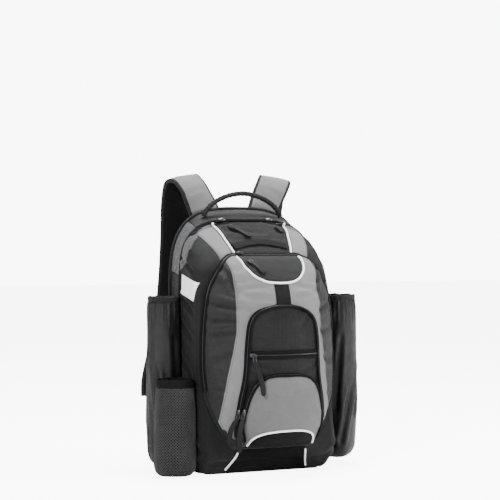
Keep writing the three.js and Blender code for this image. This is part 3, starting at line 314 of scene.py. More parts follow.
class Pocket:
    """A pocket that stands on a carrier surface, with rounded walls."""

    def __init__(self, sizes, rows, carrier, edge_power):
        self.bottom, self.top, self.half, self.out, self.crown, self.crown_power = sizes
        self.rows = rows
        self.carrier = carrier
        self.edge_power = edge_power

    def up(self, z):
        return (z - self.bottom) / (self.top - self.bottom)

    def width(self, z):
        return self.half * profile(self.rows, self.up(z))

    def face(self, x, z):
        return (BACK_Y - self.out * profile(self.rows, self.up(z), 2)
                + self.crown * (np.abs(x) / self.half) ** self.crown_power)

    def y(self, x, z):
        inside = (z >= self.bottom) & (z <= self.top) & (np.abs(x) <= self.width(z))
        power = self.edge_power(self.up(z))
        share = np.clip(np.abs(x) / np.maximum(self.width(z), 1e-6), 0, 1)
        stand = (1 - share**power) ** (1 / power)
        ground = self.carrier(x, z)
        base = ground - SEAT_GAP
        raised = np.minimum(base + (self.face(x, z) - base) * stand, base - POCKET_STAND)
        return np.where(inside, raised, ground)

    def wall(self, x, z, stand):
        """Point between the carrier and the face, for walls and the rims over the ends."""
        base = self.carrier(x, z) - SEAT_GAP
        return base + (np.minimum(self.face(x, z), base - POCKET_STAND) - base) * stand


FRONT = Pocket((48, 401, 135, 212, 0, 2), FRONT_ROWS, tray_y,
               lambda up: 1.7 + 1.3 * np.clip((up - 0.86) / 0.12, 0, 1))
MIDDLE = Pocket((50.5, 309.5, 88, 218, 20, 2), MIDDLE_ROWS, FRONT.y,
                lambda up: np.full_like(np.asarray(up, float), 8.0))
LOWER = Pocket((53, 184.6, 86, 236, 33, 2.5), LOWER_ROWS, MIDDLE.y,
               lambda up: np.full_like(np.asarray(up, float), 4.0))


def band_x(z):
    share = np.clip((z - BAND_Z[0]) / (BAND_Z[1] - BAND_Z[0]), -0.4, 1.1)
    return BAND_X[0] + (BAND_X[1] - BAND_X[0]) * share


def band_edge(z):
    return band_x(z) + BAND_WIDTH + 8 * fade_in(z, 400, 58)


def top_at(y):
    share = np.clip((y - ZIP_FRONT) / (BACK_Y - ZIP_FRONT), 0, 1)
    return ZIP_TOP + (BACK_TOP - ZIP_TOP) * np.sin(share * math.pi / 2)


def power_at(y):
    share = np.clip((y - ZIP_FRONT) / (BACK_Y - ZIP_FRONT), 0, 1)
    return ZIP_POWER + (BACK_POWER - ZIP_POWER) * share


def body_loop(y, out):
    """Outline of the bag at a depth, as dense points from its base's middle round the top."""
    top, power = float(top_at(y)), float(power_at(y))
    angle = np.linspace(0, math.pi, 400)
    arc = np.stack([
        signed_power(np.cos(angle), 2 / power) * (BODY_HALF + out),
        SHOULDER_Z + np.sin(angle) ** (2 / power) * (top + out - SHOULDER_Z)], 1)
    side = np.stack([np.full(60, BODY_HALF + out),
                     np.linspace(TRAY_BOTTOM - out + BASE_CORNER, SHOULDER_Z, 61)[:-1]], 1)
    turn = np.linspace(0, math.pi / 2, 16)[:-1]
    corner = np.stack([BODY_HALF + out - BASE_CORNER * (1 - np.sin(turn)),
                       TRAY_BOTTOM - out + BASE_CORNER * (1 - np.cos(turn))], 1)
    base = np.stack([np.linspace(0, BODY_HALF + out - BASE_CORNER, 20)[:-1],
                     np.full(19, TRAY_BOTTOM - out)], 1)
    right = np.concatenate([base, corner, side])
    left = right[::-1] * [-1, 1]
    return np.concatenate([right, arc, left])


def along_path(points, shares):
    """Points at shares of a path's length."""
    length = np.concatenate([[0], np.cumsum(gaps_along(points))])
    return np.stack([np.interp(np.asarray(shares) * length[-1], length, points[:, k])
                     for k in range(points.shape[1])], -1)


def ripples(a, b, wave, seed, count=7):
    """Soft even undulation over two surface coordinates, from -1 to 1."""
    draw = np.random.default_rng(seed)
    total = np.zeros(np.broadcast(a, b).shape)
    warp = 0.35 * wave * np.sin(a * 2.1 / wave + seed) * np.cos(b * 1.7 / wave)
    for _ in range(count):
        angle, phase = draw.uniform(0, 2 * math.pi, 2)
        length = wave * draw.uniform(0.7, 1.7)
        total += np.sin((a * math.cos(angle) + (b + warp) * math.sin(angle))
                        * 2 * math.pi / length + phase)
    return total / count


def crease(a, b, line):
    """A fold line with raised sides: (a0, b0, a1, b1, half width, depth)."""
    a0, b0, a1, b1, wide, deep = line
    da, db = a1 - a0, b1 - b0
    span = math.hypot(da, db)
    t = ((a - a0) * da + (b - b0) * db) / span**2
    off = np.abs((a - a0) * db - (b - b0) * da) / span
    fade = np.clip(np.minimum(t, 1 - t) * 4 + 0.6, 0, 1)
    fade = fade * fade * (3 - 2 * fade)
    return deep * fade * (0.8 * np.exp(-((off - 1.7 * wide) / wide) ** 2)
                          - np.exp(-((off / wide) ** 2)))


def folds(a, z, ends, waves, deep, lines):
    """Ripples of two sizes and fold lines, calm near a panel's lower and upper ends."""
    (low, low_span), (high, high_span) = ends
    calm = fade_in(z, low, low_span) * fade_in(-z, -high, high_span)
    soft = sum(rise * ripples(a, z, wave, seed) for rise, wave, seed in waves)
    return calm * (soft + deep * sum(crease(a, z, line) for line in lines))


def tray_relief(x, y, z):
    """Folds of the main compartment, measured round its side from the middle line."""
    a = x + np.sign(x) * (y - tray_face_y(z))
    return folds(a, z, ((2.6, 14), (ZIP_TOP, 14)), ((1.3, 70, 3), (0.5, 24, 5)), 1.3, TRAY_FOLDS)


def front_relief(x, _, z):
    return folds(x, z, ((52, 16), (398, 12)), ((1.3, 62, 41), (0.45, 22, 43)), 1.3, FRONT_FOLDS)


def middle_relief(x, _, z):
    flat = 1 - 0.9 * np.exp(-(((z - FLAT_ZIP_Z) / 9) ** 2))
    return flat * folds(x, z, ((55, 14), (305, 10)), ((0.9, 52, 71), (0.3, 20, 73)), 1,
                        MIDDLE_FOLDS)


def lower_relief(x, _, z):
    return folds(x, z, ((56, 10), (184, 8)), ((1.1, 55, 83), (0.3, 20, 85)), 1, LOWER_FOLDS)


def sewn_on(relief, rise, *edges):
    """Relief of a panel sewn on a carrier: the carrier's folds, its own rise and its hems."""
    def lifted(u, v, at):
        return relief(*at.T) + rise + (hem(u, v, *edges) if edges else 0)
    return lifted


def crown_half(z):
    """Half width of the crown panel, which narrows to nothing at its bottom."""
    share = np.clip((np.asarray(z, float) - CROWN_BOTTOM) / (FRONT.top - CROWN_BOTTOM) / 0.98, 0, 1)
    return CROWN_HALF * np.sin(np.arccos(1 - share)) ** 0.75


def face_edge(z):
    """Half width of the front pocket's grey face."""
    return np.minimum(FRONT.half * profile(FACE_EDGE, FRONT.up(z)), FRONT.width(z) * 0.97)


def sack_rows(v, low, rim, rows):
    """Heights and sizes up a sack, with a rounded floor at its low end."""
    floor = 0.06
    rise = fade_in(v, floor, 1 - floor)
    return low + (rim - low) * rise, profile(rows, rise), np.clip(v / floor, 0.004, 1)


def sack_ring(sack, angle, size, inset):
    half_wide = sack["reach"] / 2 + 1
    centre_x = BODY_HALF + SEAT_GAP + sack["reach"] - half_wide
    x = centre_x + (half_wide * size - inset) * np.cos(angle)
    y = sack["centre_y"] + (sack["half_depth"] * size - inset) * np.sin(angle)
    return sack["side"] * np.maximum(x, BODY_HALF + 0.8 + inset), y


def sack_place(sack, low, rim, rows, inset):
    def place(u, v):
        z, size, closing = sack_rows(v, low, rim, rows)
        x, y = sack_ring(sack, u * 2 * math.pi, size * closing, inset)
        return np.stack([x, y, z], 1)
    return place


def sack_centre(sack, z):
    return sack["side"] * (BODY_HALF + sack["reach"] / 2), sack["centre_y"], z


def sack_out(sack, points):
    """Level directions from a sack's middle line to points round it."""
    return unit((points - np.array(sack_centre(sack, 0))) * [1, 1, 0])


# Mesh builders

def settings():
    return bpy.context.scene.bat_backpack


def look_up(name):
    return bpy.data.materials[name]


def keep(piece, nodes, material):
    """Places a finished piece on the bag, in place of its solids."""
    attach(piece, "root")
    if nodes:
        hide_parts(*nodes)
    if material:
        piece.data.materials.clear()
        piece.data.materials.append(look_up(material))
    for polygon in piece.data.polygons:
        polygon.use_smooth = True


def new_piece(name, data):
    piece = bpy.data.objects.new(name, data)
    bpy.context.scene.collection.objects.link(piece)
    return piece


def unit_grid(columns, rows):
    """A flat grid mesh, with its corners' shares across and up."""
    bm = bmesh.new()
    bm.loops.layers.uv.new("UVMap")
    bmesh.ops.create_grid(bm, x_segments=columns, y_segments=rows, size=0.5, calc_uvs=True)
    mesh = bpy.data.meshes.new("grid")
    bm.to_mesh(mesh)
    bm.free()
    corners = np.empty(len(mesh.vertices) * 3)
    mesh.vertices.foreach_get("co", corners)
    corners = corners.reshape(-1, 3)
    return mesh, corners[:, 0] + 0.5, corners[:, 1] + 0.5


def scale_uv(mesh, width, height):
    layer = mesh.uv_layers["UVMap"].data
    flat = np.empty(len(layer) * 2)
    layer.foreach_get("uv", flat)
    flat = flat.reshape(-1, 2) * [width * MM, height * MM]
    layer.foreach_set("uv", flat.ravel())


def set_points(mesh, points):
    mesh.vertices.foreach_set("co", (points * MM).ravel())
    mesh.update()


def weld(mesh, gap, work=None, source=None):
    """Joins a mesh's doubled points, then does further work on it."""
    bm = bmesh.new()
    bm.from_mesh(source or mesh)
    bmesh.ops.remove_doubles(bm, verts=bm.verts, dist=gap * MM)
    if work:
        work(bm)
    bm.to_mesh(mesh)
    bm.free()


def add_wall(piece, thick):
    wall = piece.modifiers.new("Cloth", "SOLIDIFY")
    wall.thickness = thick * MM
    wall.offset = -1
    wall.use_even_offset = False


def turn_out(mesh, centre):
    """Turns the faces away from a point that lies behind the surface."""
    count = len(mesh.polygons)
    normals, centres, areas = np.empty(count * 3), np.empty(count * 3), np.empty(count)
    mesh.polygons.foreach_get("normal", normals)
    mesh.polygons.foreach_get("center", centres)
    mesh.polygons.foreach_get("area", areas)
    away = centres.reshape(-1, 3) - np.asarray(centre) * MM
    if ((normals.reshape(-1, 3) * away).sum(1) * areas).sum() < 0:
        mesh.flip_normals()


def numeric_normals(place, u, v, centre):
    """Normals of a placed surface, turned away from a point behind it."""
    step = 1e-3
    du = place(np.clip(u + step, 0, 1), v) - place(np.clip(u - step, 0, 1), v)
    dv = place(u, np.clip(v + step, 0, 1)) - place(u, np.clip(v - step, 0, 1))
    normals = unit(np.cross(du, dv))
    away = place(u, v) - np.asarray(centre)
    return normals * np.sign((normals * away).sum(1).sum())


def cloth_panel(name, grid, size, place, relief=None, centre=(0, 0, 200), thick=1.6, wrap=False):
    """A cloth panel: place gives its surface and relief what stands out of it."""
    mesh, u, v = unit_grid(*grid)
    mesh.name = name
    points = place(u, v)
    if relief:
        rise = relief(u, v, points)
        points = points + numeric_normals(place, u, v, centre) * rise[:, None]
    set_points(mesh, points)
    scale_uv(mesh, *size)
    turn_out(mesh, centre)
    if wrap:
        weld(mesh, 0.02)
    piece = new_piece(name, mesh)
    if thick:
        add_wall(piece, thick)
    return piece


def hem(u, v, width, height, reach=5, depth=0.9):
    """How far a panel dips towards its sewn edges."""
    edge = np.minimum(np.minimum(u, 1 - u) * width, np.minimum(v, 1 - v) * height)
    return -depth * np.exp(-((edge / reach) ** 2))


def smooth_path(points, spacing, passes=6):
    """A path resampled at an even spacing and eased at its corners."""
    points = np.asarray(points, float)
    count = max(int(gaps_along(points[:, :3]).sum() / spacing), 3)
    points = along_path(points, np.linspace(0, 1, count + 1))
    for _ in range(passes):
        points[1:-1] = points[1:-1] / 2 + (points[:-2] + points[2:]) / 4
    return points


def spline(points, count):
    """Smooth curve through the points, at even steps of the root of their gaps."""
    points = np.asarray(points, float)
    knots = np.concatenate([[0], np.cumsum(np.sqrt(gaps_along(points[:, :3])))])
    at = np.linspace(0, knots[-1], count + 1)
    slopes = np.gradient(points, knots, axis=0)
    i = np.clip(np.searchsorted(knots, at, side="right") - 1, 0, len(knots) - 2)
    return curve_between(at[:, None], i, knots[:, None], points, slopes)


def frames_on(path, normals):
    """Directions across a path and out of the surface that it lies on."""
    along = unit(np.gradient(path, axis=0))
    across = unit(np.cross(along, normals))
    return across, np.cross(across, along)


def sweep(name, path, normals, section, change=None, caps=True):
    """A closed section (across, up) swept along a path. change(k, a, b) may vary it."""
    path, normals = np.asarray(path, float), np.asarray(normals, float)
    section = np.asarray(section, float)
    across, rise = frames_on(path, normals)
    sides, stations = len(section), len(path)
    mesh, u, v = unit_grid(sides, stations - 1)
    mesh.name = name
    i = np.rint(u * sides).astype(int) % sides
    k = np.rint(v * (stations - 1)).astype(int)
    a, b = section[i, 0], section[i, 1]
    if change:
        a, b = change(k, a, b)
    points = path[k] + across[k] * a[:, None] + rise[k] * b[:, None]
    set_points(mesh, points)
    girth = gaps_along(np.vstack([section, section[:1]])).sum()
    scale_uv(mesh, girth, gaps_along(path).sum())

    def close(bm):
        if caps:
            bmesh.ops.holes_fill(bm, edges=[e for e in bm.edges if e.is_boundary], sides=0)
        bmesh.ops.recalc_face_normals(bm, faces=bm.faces)

    weld(mesh, 0.005, close)
    return new_piece(name, mesh)


def round_section(radius, sides=12, lift=0.0, flat=1.0):
    angle = np.linspace(0, 2 * math.pi, sides, endpoint=False)
    return np.stack([np.cos(angle) * radius, np.sin(angle) * radius * flat + lift], 1)


def strip_section(width, height, lift=SEAT_GAP):
    """A webbing or tape section with rounded edges."""
    w, h = width / 2, height
    return [(-w, lift + 0.3 * h), (-w + 0.35 * h, lift), (0, lift), (w - 0.35 * h, lift),
            (w, lift + 0.3 * h), (w, lift + 0.7 * h), (w - 0.35 * h, lift + h),
            (w / 2, lift + h), (0, lift + h), (-w / 2, lift + h), (-w + 0.35 * h, lift + h),
            (-w, lift + 0.7 * h)]


def joined(name, pieces):
    """Several meshes made into one object."""
    bm = bmesh.new()
    uv = bm.loops.layers.uv.new("UVMap")
    materials = []
    for piece in pieces:
        base = len(materials)
        materials += list(piece.data.materials) or [None]
        start = len(bm.faces)
        bm.from_mesh(piece.data)
        bm.faces.ensure_lookup_table()
        for face in bm.faces[start:]:
            face.material_index += base
    mesh = bpy.data.meshes.new(name)
    bm.to_mesh(mesh)
    bm.free()
    for material in materials:
        mesh.materials.append(material)
    for piece in pieces:
        old = piece.data
        bpy.data.objects.remove(piece)
        bpy.data.meshes.remove(old)
    return new_piece(name, mesh)


def dressed(piece, material):
    piece.data.materials.append(look_up(material))
    return piece


def sew_zip(name, nodes, path, normals, width, thick=2.4, lift=SEAT_GAP):
    """A zip: two folded cloth lips with a row of teeth between them."""
    w = width / 2
    half = [(w * a, lift + thick * b) for a, b in ZIP_LIP]
    lips = [(-w, lift), *half, *[(-a, b) for a, b in half[:0:-1]]]
    tape = dressed(sweep(name + "_lips", path, normals, lips), "Dark cloth")
    fine = smooth_path(np.hstack([path, normals]), 1.05, passes=0)
    teeth_section = round_section(0.2 * w, 8, lift + 0.42 * thick, 0.9)

    def tooth(k, a, b):
        size = np.where(k % 2 == 0, 1.0, 0.55)
        return a * size, (b - lift - 0.42 * thick) * size + lift + 0.42 * thick

    teeth = dressed(sweep(name + "_teeth", fine[:, :3], fine[:, 3:], teeth_section, tooth),
                    "Zip teeth")
    keep(joined(name, [tape, teeth]), nodes, None)


def scaled(matrix):
    """A placing in millimetres made one in metres, with its turning part kept."""
    moved = matrix.copy()
    for row in range(3):
        moved[row][3] *= MM
    return moved


def stitches(name, path, normals, spacing=4.2, length=2.7, radius=0.38, lift=0.15):
    """A row of thread stitches along a path."""
    seats = smooth_path(np.hstack([path, normals]), spacing, passes=0)
    across, rise = frames_on(seats[:, :3], seats[:, 3:])
    bm = bmesh.new()
    for point, normal, side in zip(seats[:, :3], rise, across):
        along = np.cross(normal, side)
        turn = Matrix([[along[r] * length / 2, side[r] * radius, normal[r] * radius,
                        point[r] + normal[r] * lift] for r in range(3)] + [[0, 0, 0, 1]])
        bmesh.ops.create_uvsphere(bm, u_segments=6, v_segments=4, radius=MM,
                                  matrix=scaled(turn))
    mesh = bpy.data.meshes.new(name)
    bm.to_mesh(mesh)
    bm.free()
    return new_piece(name, mesh)


def surface_seats(surface, xs, zs):
    """Points and outward normals on a depth surface."""
    xs, zs = np.asarray(xs, float), np.asarray(zs, float)
    step = 1.2
    dx = (surface(xs + step, zs) - surface(xs - step, zs)) / (2 * step)
    dz = (surface(xs, zs + step) - surface(xs, zs - step)) / (2 * step)
    normals = unit(np.stack([dx, np.full_like(dx, -1.0), dz], 1))
    return np.stack([xs, surface(xs, zs), zs], 1), normals


def trim_on(surface, relief, line, name, node, section,
            material="White trim"):
    """A trim swept over a carrier, and its folds if given, along a line of (x, z)."""
    path, normals = surface_seats(surface, line[:, 0], line[:, 1])
    if relief:
        path = path + normals * relief(*path.T)[:, None]
    keep(sweep(name, path, normals, section), [node], material)


def bevelled(name, node, angle, offset, segments, material):
    """A small hard solid's own form, with its sharp edges eased."""
    def ease(bm):
        sharp = [e for e in bm.edges if len(e.link_faces) == 2 and e.calc_face_angle() > angle]
        bmesh.ops.bevel(bm, geom=sharp, offset=offset * MM, offset_type="OFFSET",
                        segments=segments, profile=0.5, affect="EDGES", material=-1,
                        clamp_overlap=True)

    mesh = bpy.data.meshes.new(name)
    weld(mesh, 0.01, ease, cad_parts[node].data)
    keep(new_piece(name, mesh), [node], material)


def pocket_shell(name, pocket, grid, relief):
    """The whole cloth of a pocket: walls, rounded edges and face, with closed ends."""
    ends = 0.035

    def shape(u, v):
        rise = np.clip((v - ends) / (1 - 2 * ends), 0, 1)
        z = pocket.bottom + (pocket.top - pocket.bottom) * rise
        power = pocket.edge_power(pocket.up(z))
        angle = math.pi * (1 - u)
        share = signed_power(np.cos(angle), 2 / power)
        stand = np.abs(np.sin(angle)) ** (2 / power)
        closing = np.clip(np.minimum(v, 1 - v) / ends, 0, 1)
        return share * pocket.width(z) * 0.9999, z, stand, closing

    def place(u, v):
        x, z, stand, closing = shape(u, v)
        return np.stack([x, pocket.wall(x, z, stand * closing**0.6), z], 1)

    def out(u, v, at):
        x, z, stand, closing = shape(u, v)
        calm = np.clip((stand - 0.1) * 3, 0, 1) * closing
        return calm * relief(x, 0, z)

    width = 2 * pocket.half + 40
    return cloth_panel(name, grid, (width, pocket.top - pocket.bottom), place, out,
                       (0, 60, (pocket.bottom + pocket.top) / 2))


def edge_path(pocket, share, from_up, spacing=2.6):
    """Path and normals along a pocket's edge: up one side, over the top and down the other."""
    ups = np.linspace(from_up, 1, 240)
    zs = pocket.bottom + ups * (pocket.top - pocket.bottom)
    xs = share * pocket.width(zs)
    side = np.stack([xs, pocket.y(xs, zs), zs], 1)
    top = np.stack([np.linspace(-xs[-1], xs[-1], 40)[1:-1]] * 3, 1)
    top[:, 1] = pocket.y(top[:, 0], np.full(38, pocket.top))
    top[:, 2] = pocket.top
    line = np.concatenate([side * [-1, 1, 1], top, side[::-1]])
    slope = np.gradient(pocket.width(zs), zs)
    side_normal = np.stack([np.ones_like(xs), -np.ones_like(xs) * 0.9, -slope], 1)
    top_normal = np.tile([0.0, -0.6, 1.0], (38, 1))
    normals = unit(np.concatenate([side_normal * [-1, 1, 1], top_normal, side_normal[::-1]]))
    both = smooth_path(np.hstack([line, normals]), spacing, passes=14)
    return both[:, :3], unit(both[:, 3:])


def slider_top(name):
    """Middle of a slider's outer face and the way it looks."""
    low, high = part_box(f"slider_{name}")
    middle = (np.array(low) + np.array(high)) / 2 / MM
    normal = np.array([0.0, -1.0, 0.0]) if name == "flat" else np.array([-0.72, -0.69, 0.0])
    return middle + normal * 2.8, normal


def hem_hoop(sack, size, low, high, name, node, count, material="Zip cloth"):
    """A bound hem round a sack's mouth, slightly gathered."""
    angle = np.linspace(0, 2 * math.pi, count + 1)
    x, y = sack_ring(sack, angle, size, 1.2)
    middle = (low + high) / 2
    path = np.stack([x, y, middle + 0.5 * np.sin(angle * 9) + 0.3 * np.sin(angle * 17)], 1)

    def pucker(k, a, b):
        return a * (1 + 0.03 * np.sin(k * 1.3)), b + 0.35 * np.sin(k * 0.9) + 0.2 * np.sin(k * 2.3)

    hoop = sweep(name, path, sack_out(sack, path), strip_section(high - low, 2.4, -1.2),
                 pucker, caps=False)
    keep(hoop, [node], material)


# Materials

def material_nodes(name):
    material = bpy.data.materials.new(name)
    material.use_nodes = True
    nodes, links = material.node_tree.nodes, material.node_tree.links
    return material, nodes, links, nodes["Principled BSDF"]


def math_node(nodes, links, operation, *values):
    node = nodes.new("ShaderNodeMath")
    node.operation = operation
    for socket, value in zip(node.inputs, values):
        if isinstance(value, (int, float)):
            socket.default_value = value
        else:
            links.new(value, socket)
    return node.outputs[0]


def noise_node(nodes, links, vector, scale, detail=3.0, roughness=0.55):
    node = nodes.new("ShaderNodeTexNoise")
    node.inputs["Scale"].default_value = scale
    node.inputs["Detail"].default_value = detail
    node.inputs["Roughness"].default_value = roughness
    links.new(vector, node.inputs["Vector"])
    return node.outputs["Fac"]


def ramp_node(nodes, links, factor, stops):
    node = nodes.new("ShaderNodeValToRGB")
    ramp = node.color_ramp
    while len(ramp.elements) < len(stops):
        ramp.elements.new(0.5)
    for element, (place, colour) in zip(ramp.elements, stops):
        element.position = place
        element.color = (*colour, 1)
    links.new(factor, node.inputs["Fac"])
    return node.outputs["Color"]


def bump_node(nodes, links, height, strength, distance):
    node = nodes.new("ShaderNodeBump")
    node.inputs["Strength"].default_value = strength
    node.inputs["Distance"].default_value = distance
    links.new(height, node.inputs["Height"])
    return node


def shade(colour, factor):
    return tuple(min(max(c * factor, 0), 1) for c in colour[:3])


def woven_cloth(name, colour, pitch, spread, rough, sheen, bump, own_uv=True, thread=0.12,
                crumple=0.35, shine=0.22):
    """Woven cloth: crossing threads, uneven dye, soft worn patches."""
    _, nodes, links, shader = material_nodes(name)
    where = nodes.new("ShaderNodeTexCoord")
    flat = where.outputs["UV"] if own_uv else where.outputs["Object"]
    split = nodes.new("ShaderNodeSeparateXYZ")
    links.new(flat, split.inputs[0])
    turns = 2 * math.pi / (pitch * MM)
    waves = [math_node(nodes, links, "SINE", math_node(nodes, links, "MULTIPLY", out, turns))
             for out in (split.outputs[0], split.outputs[1 if own_uv else 2])]
    weave = math_node(nodes, links, "MULTIPLY", waves[0], waves[1])
    cloud = noise_node(nodes, links, where.outputs["Object"], 9, 4)
    grain = noise_node(nodes, links, where.outputs["Object"], 420, 2)
    dye = ramp_node(nodes, links, cloud, [(0.3, shade(colour, 1 - spread)),
                                          (0.5, shade(colour, 1)),
                                          (0.72, shade(colour, 1 + spread))])
    mixed = nodes.new("ShaderNodeMix")
    mixed.data_type = "RGBA"
    mixed.blend_type = "MULTIPLY"
    mixed.inputs["Factor"].default_value = 1
    threads = math_node(nodes, links, "MULTIPLY_ADD", weave, thread, 1 - thread / 2)
    grains = math_node(nodes, links, "MULTIPLY_ADD", grain, 2 * thread, 1 - thread)
    both = math_node(nodes, links, "MULTIPLY", threads, grains)
    links.new(dye, mixed.inputs[6])
    links.new(both, mixed.inputs[7])
    links.new(mixed.outputs[2], shader.inputs["Base Color"])
    dull = math_node(nodes, links, "MULTIPLY_ADD", cloud, 0.18, rough - 0.09)
    links.new(dull, shader.inputs["Roughness"])
    relief = math_node(nodes, links, "MULTIPLY_ADD", grain, 0.5, weave)
    fine = bump_node(nodes, links, relief, bump, 0.0003)
    crinkles = noise_node(nodes, links, where.outputs["Object"], 75, 4, 0.6)
    crumpled = bump_node(nodes, links, crinkles, crumple, 0.002)
    links.new(fine.outputs[0], crumpled.inputs["Normal"])
    links.new(crumpled.outputs[0], shader.inputs["Normal"])
    shader.inputs["Sheen Weight"].default_value = sheen
    shader.inputs["Sheen Roughness"].default_value = 0.4
    shader.inputs["Specular IOR Level"].default_value = shine


def plain_finish(name, colour, rough, grain_scale, bump, metal=0.0, shine=0.4):
    """Moulded plastic, cord or metal with a fine grain and uneven gloss."""
    _, nodes, links, shader = material_nodes(name)
    where = nodes.new("ShaderNodeTexCoord")
    cloud = noise_node(nodes, links, where.outputs["Object"], 30, 3)
    grain = noise_node(nodes, links, where.outputs["Object"], grain_scale, 2)
    tone = ramp_node(nodes, links, cloud, [(0.3, shade(colour, 0.85)), (0.7, shade(colour, 1.15))])
    links.new(tone, shader.inputs["Base Color"])
    dull = math_node(nodes, links, "MULTIPLY_ADD", grain, 0.2, rough - 0.1)
    links.new(dull, shader.inputs["Roughness"])
    bumped = bump_node(nodes, links, grain, bump, 0.0002)
    links.new(bumped.outputs[0], shader.inputs["Normal"])
    shader.inputs["Metallic"].default_value = metal
    shader.inputs["Specular IOR Level"].default_value = shine


# Operators: one for each piece or group of like pieces

class BAG_OT_materials(bpy.types.Operator):
    """Make the bag's cloths, trims and plastics"""

    bl_idname = "bat_bag.materials"
    bl_label = "Materials"

    def execute(self, context):
        s = settings()
        woven_cloth("Black cloth", s.black_cloth, 0.9, 0.25, 0.5, 0.05, 0.5, crumple=0.95,
                    shine=0.25)
        woven_cloth("Pocket cloth", s.black_cloth, 0.9, 0.25, 0.58, 0.03, 0.5, crumple=0.6,
                    shine=0.15)
        woven_cloth("Dark cloth", s.dark_cloth, 1.1, 0.15, 0.7, 0.0, 0.6, shine=0.08)
        woven_cloth("Zip cloth", s.zip_cloth, 0.8, 0.15, 0.62, 0.03, 0.7)
        woven_cloth("Grey cloth", s.grey_cloth, 0.9, 0.06, 0.7, 0.08, 0.45)
        # Painted shade: a darker copy of the grey cloth, standing in for the weaker light on the
        # lower pocket's face
        woven_cloth("Grey cloth in painted shade", shade(s.grey_cloth, 0.68), 0.9, 0.06, 0.7, 0.08, 0.45)
        woven_cloth("Crinkled cloth", s.crinkled_cloth, 0.8, 0.35, 0.4, 0.2, 0.5, crumple=1.0)
        woven_cloth("White trim", s.white_trim, 0.8, 0.03, 0.5, 0.1, 0.3, thread=0.04,
                    crumple=0.05)
        woven_cloth("Sleeve cloth", s.sleeve_cloth, 0.7, 0.2, 0.36, 0.03, 0.4, crumple=0.6,
                    shine=0.24)
        woven_cloth("Webbing", s.dark_cloth, 1.8, 0.12, 0.6, 0.02, 1.0, thread=0.3, shine=0.1)
        woven_cloth("Base cloth", s.base_cloth, 1.2, 0.2, 0.65, 0.02, 0.6, own_uv=False)
        plain_finish("Net yarn", s.net_yarn, 0.6, 900, 0.6, shine=0.2)
        plain_finish("Thread", s.zip_cloth, 0.6, 1500, 0.4, shine=0.25)
        plain_finish("Zip teeth", s.plastic, 0.38, 600, 0.2)
        plain_finish("Black plastic", s.plastic, 0.42, 500, 0.25)
        plain_finish("Pull rubber", s.rubber, 0.6, 700, 0.3, shine=0.12)
        plain_finish("Slider metal", (0.05, 0.05, 0.055), 0.35, 500, 0.2, metal=0.8)
        return {"FINISHED"}


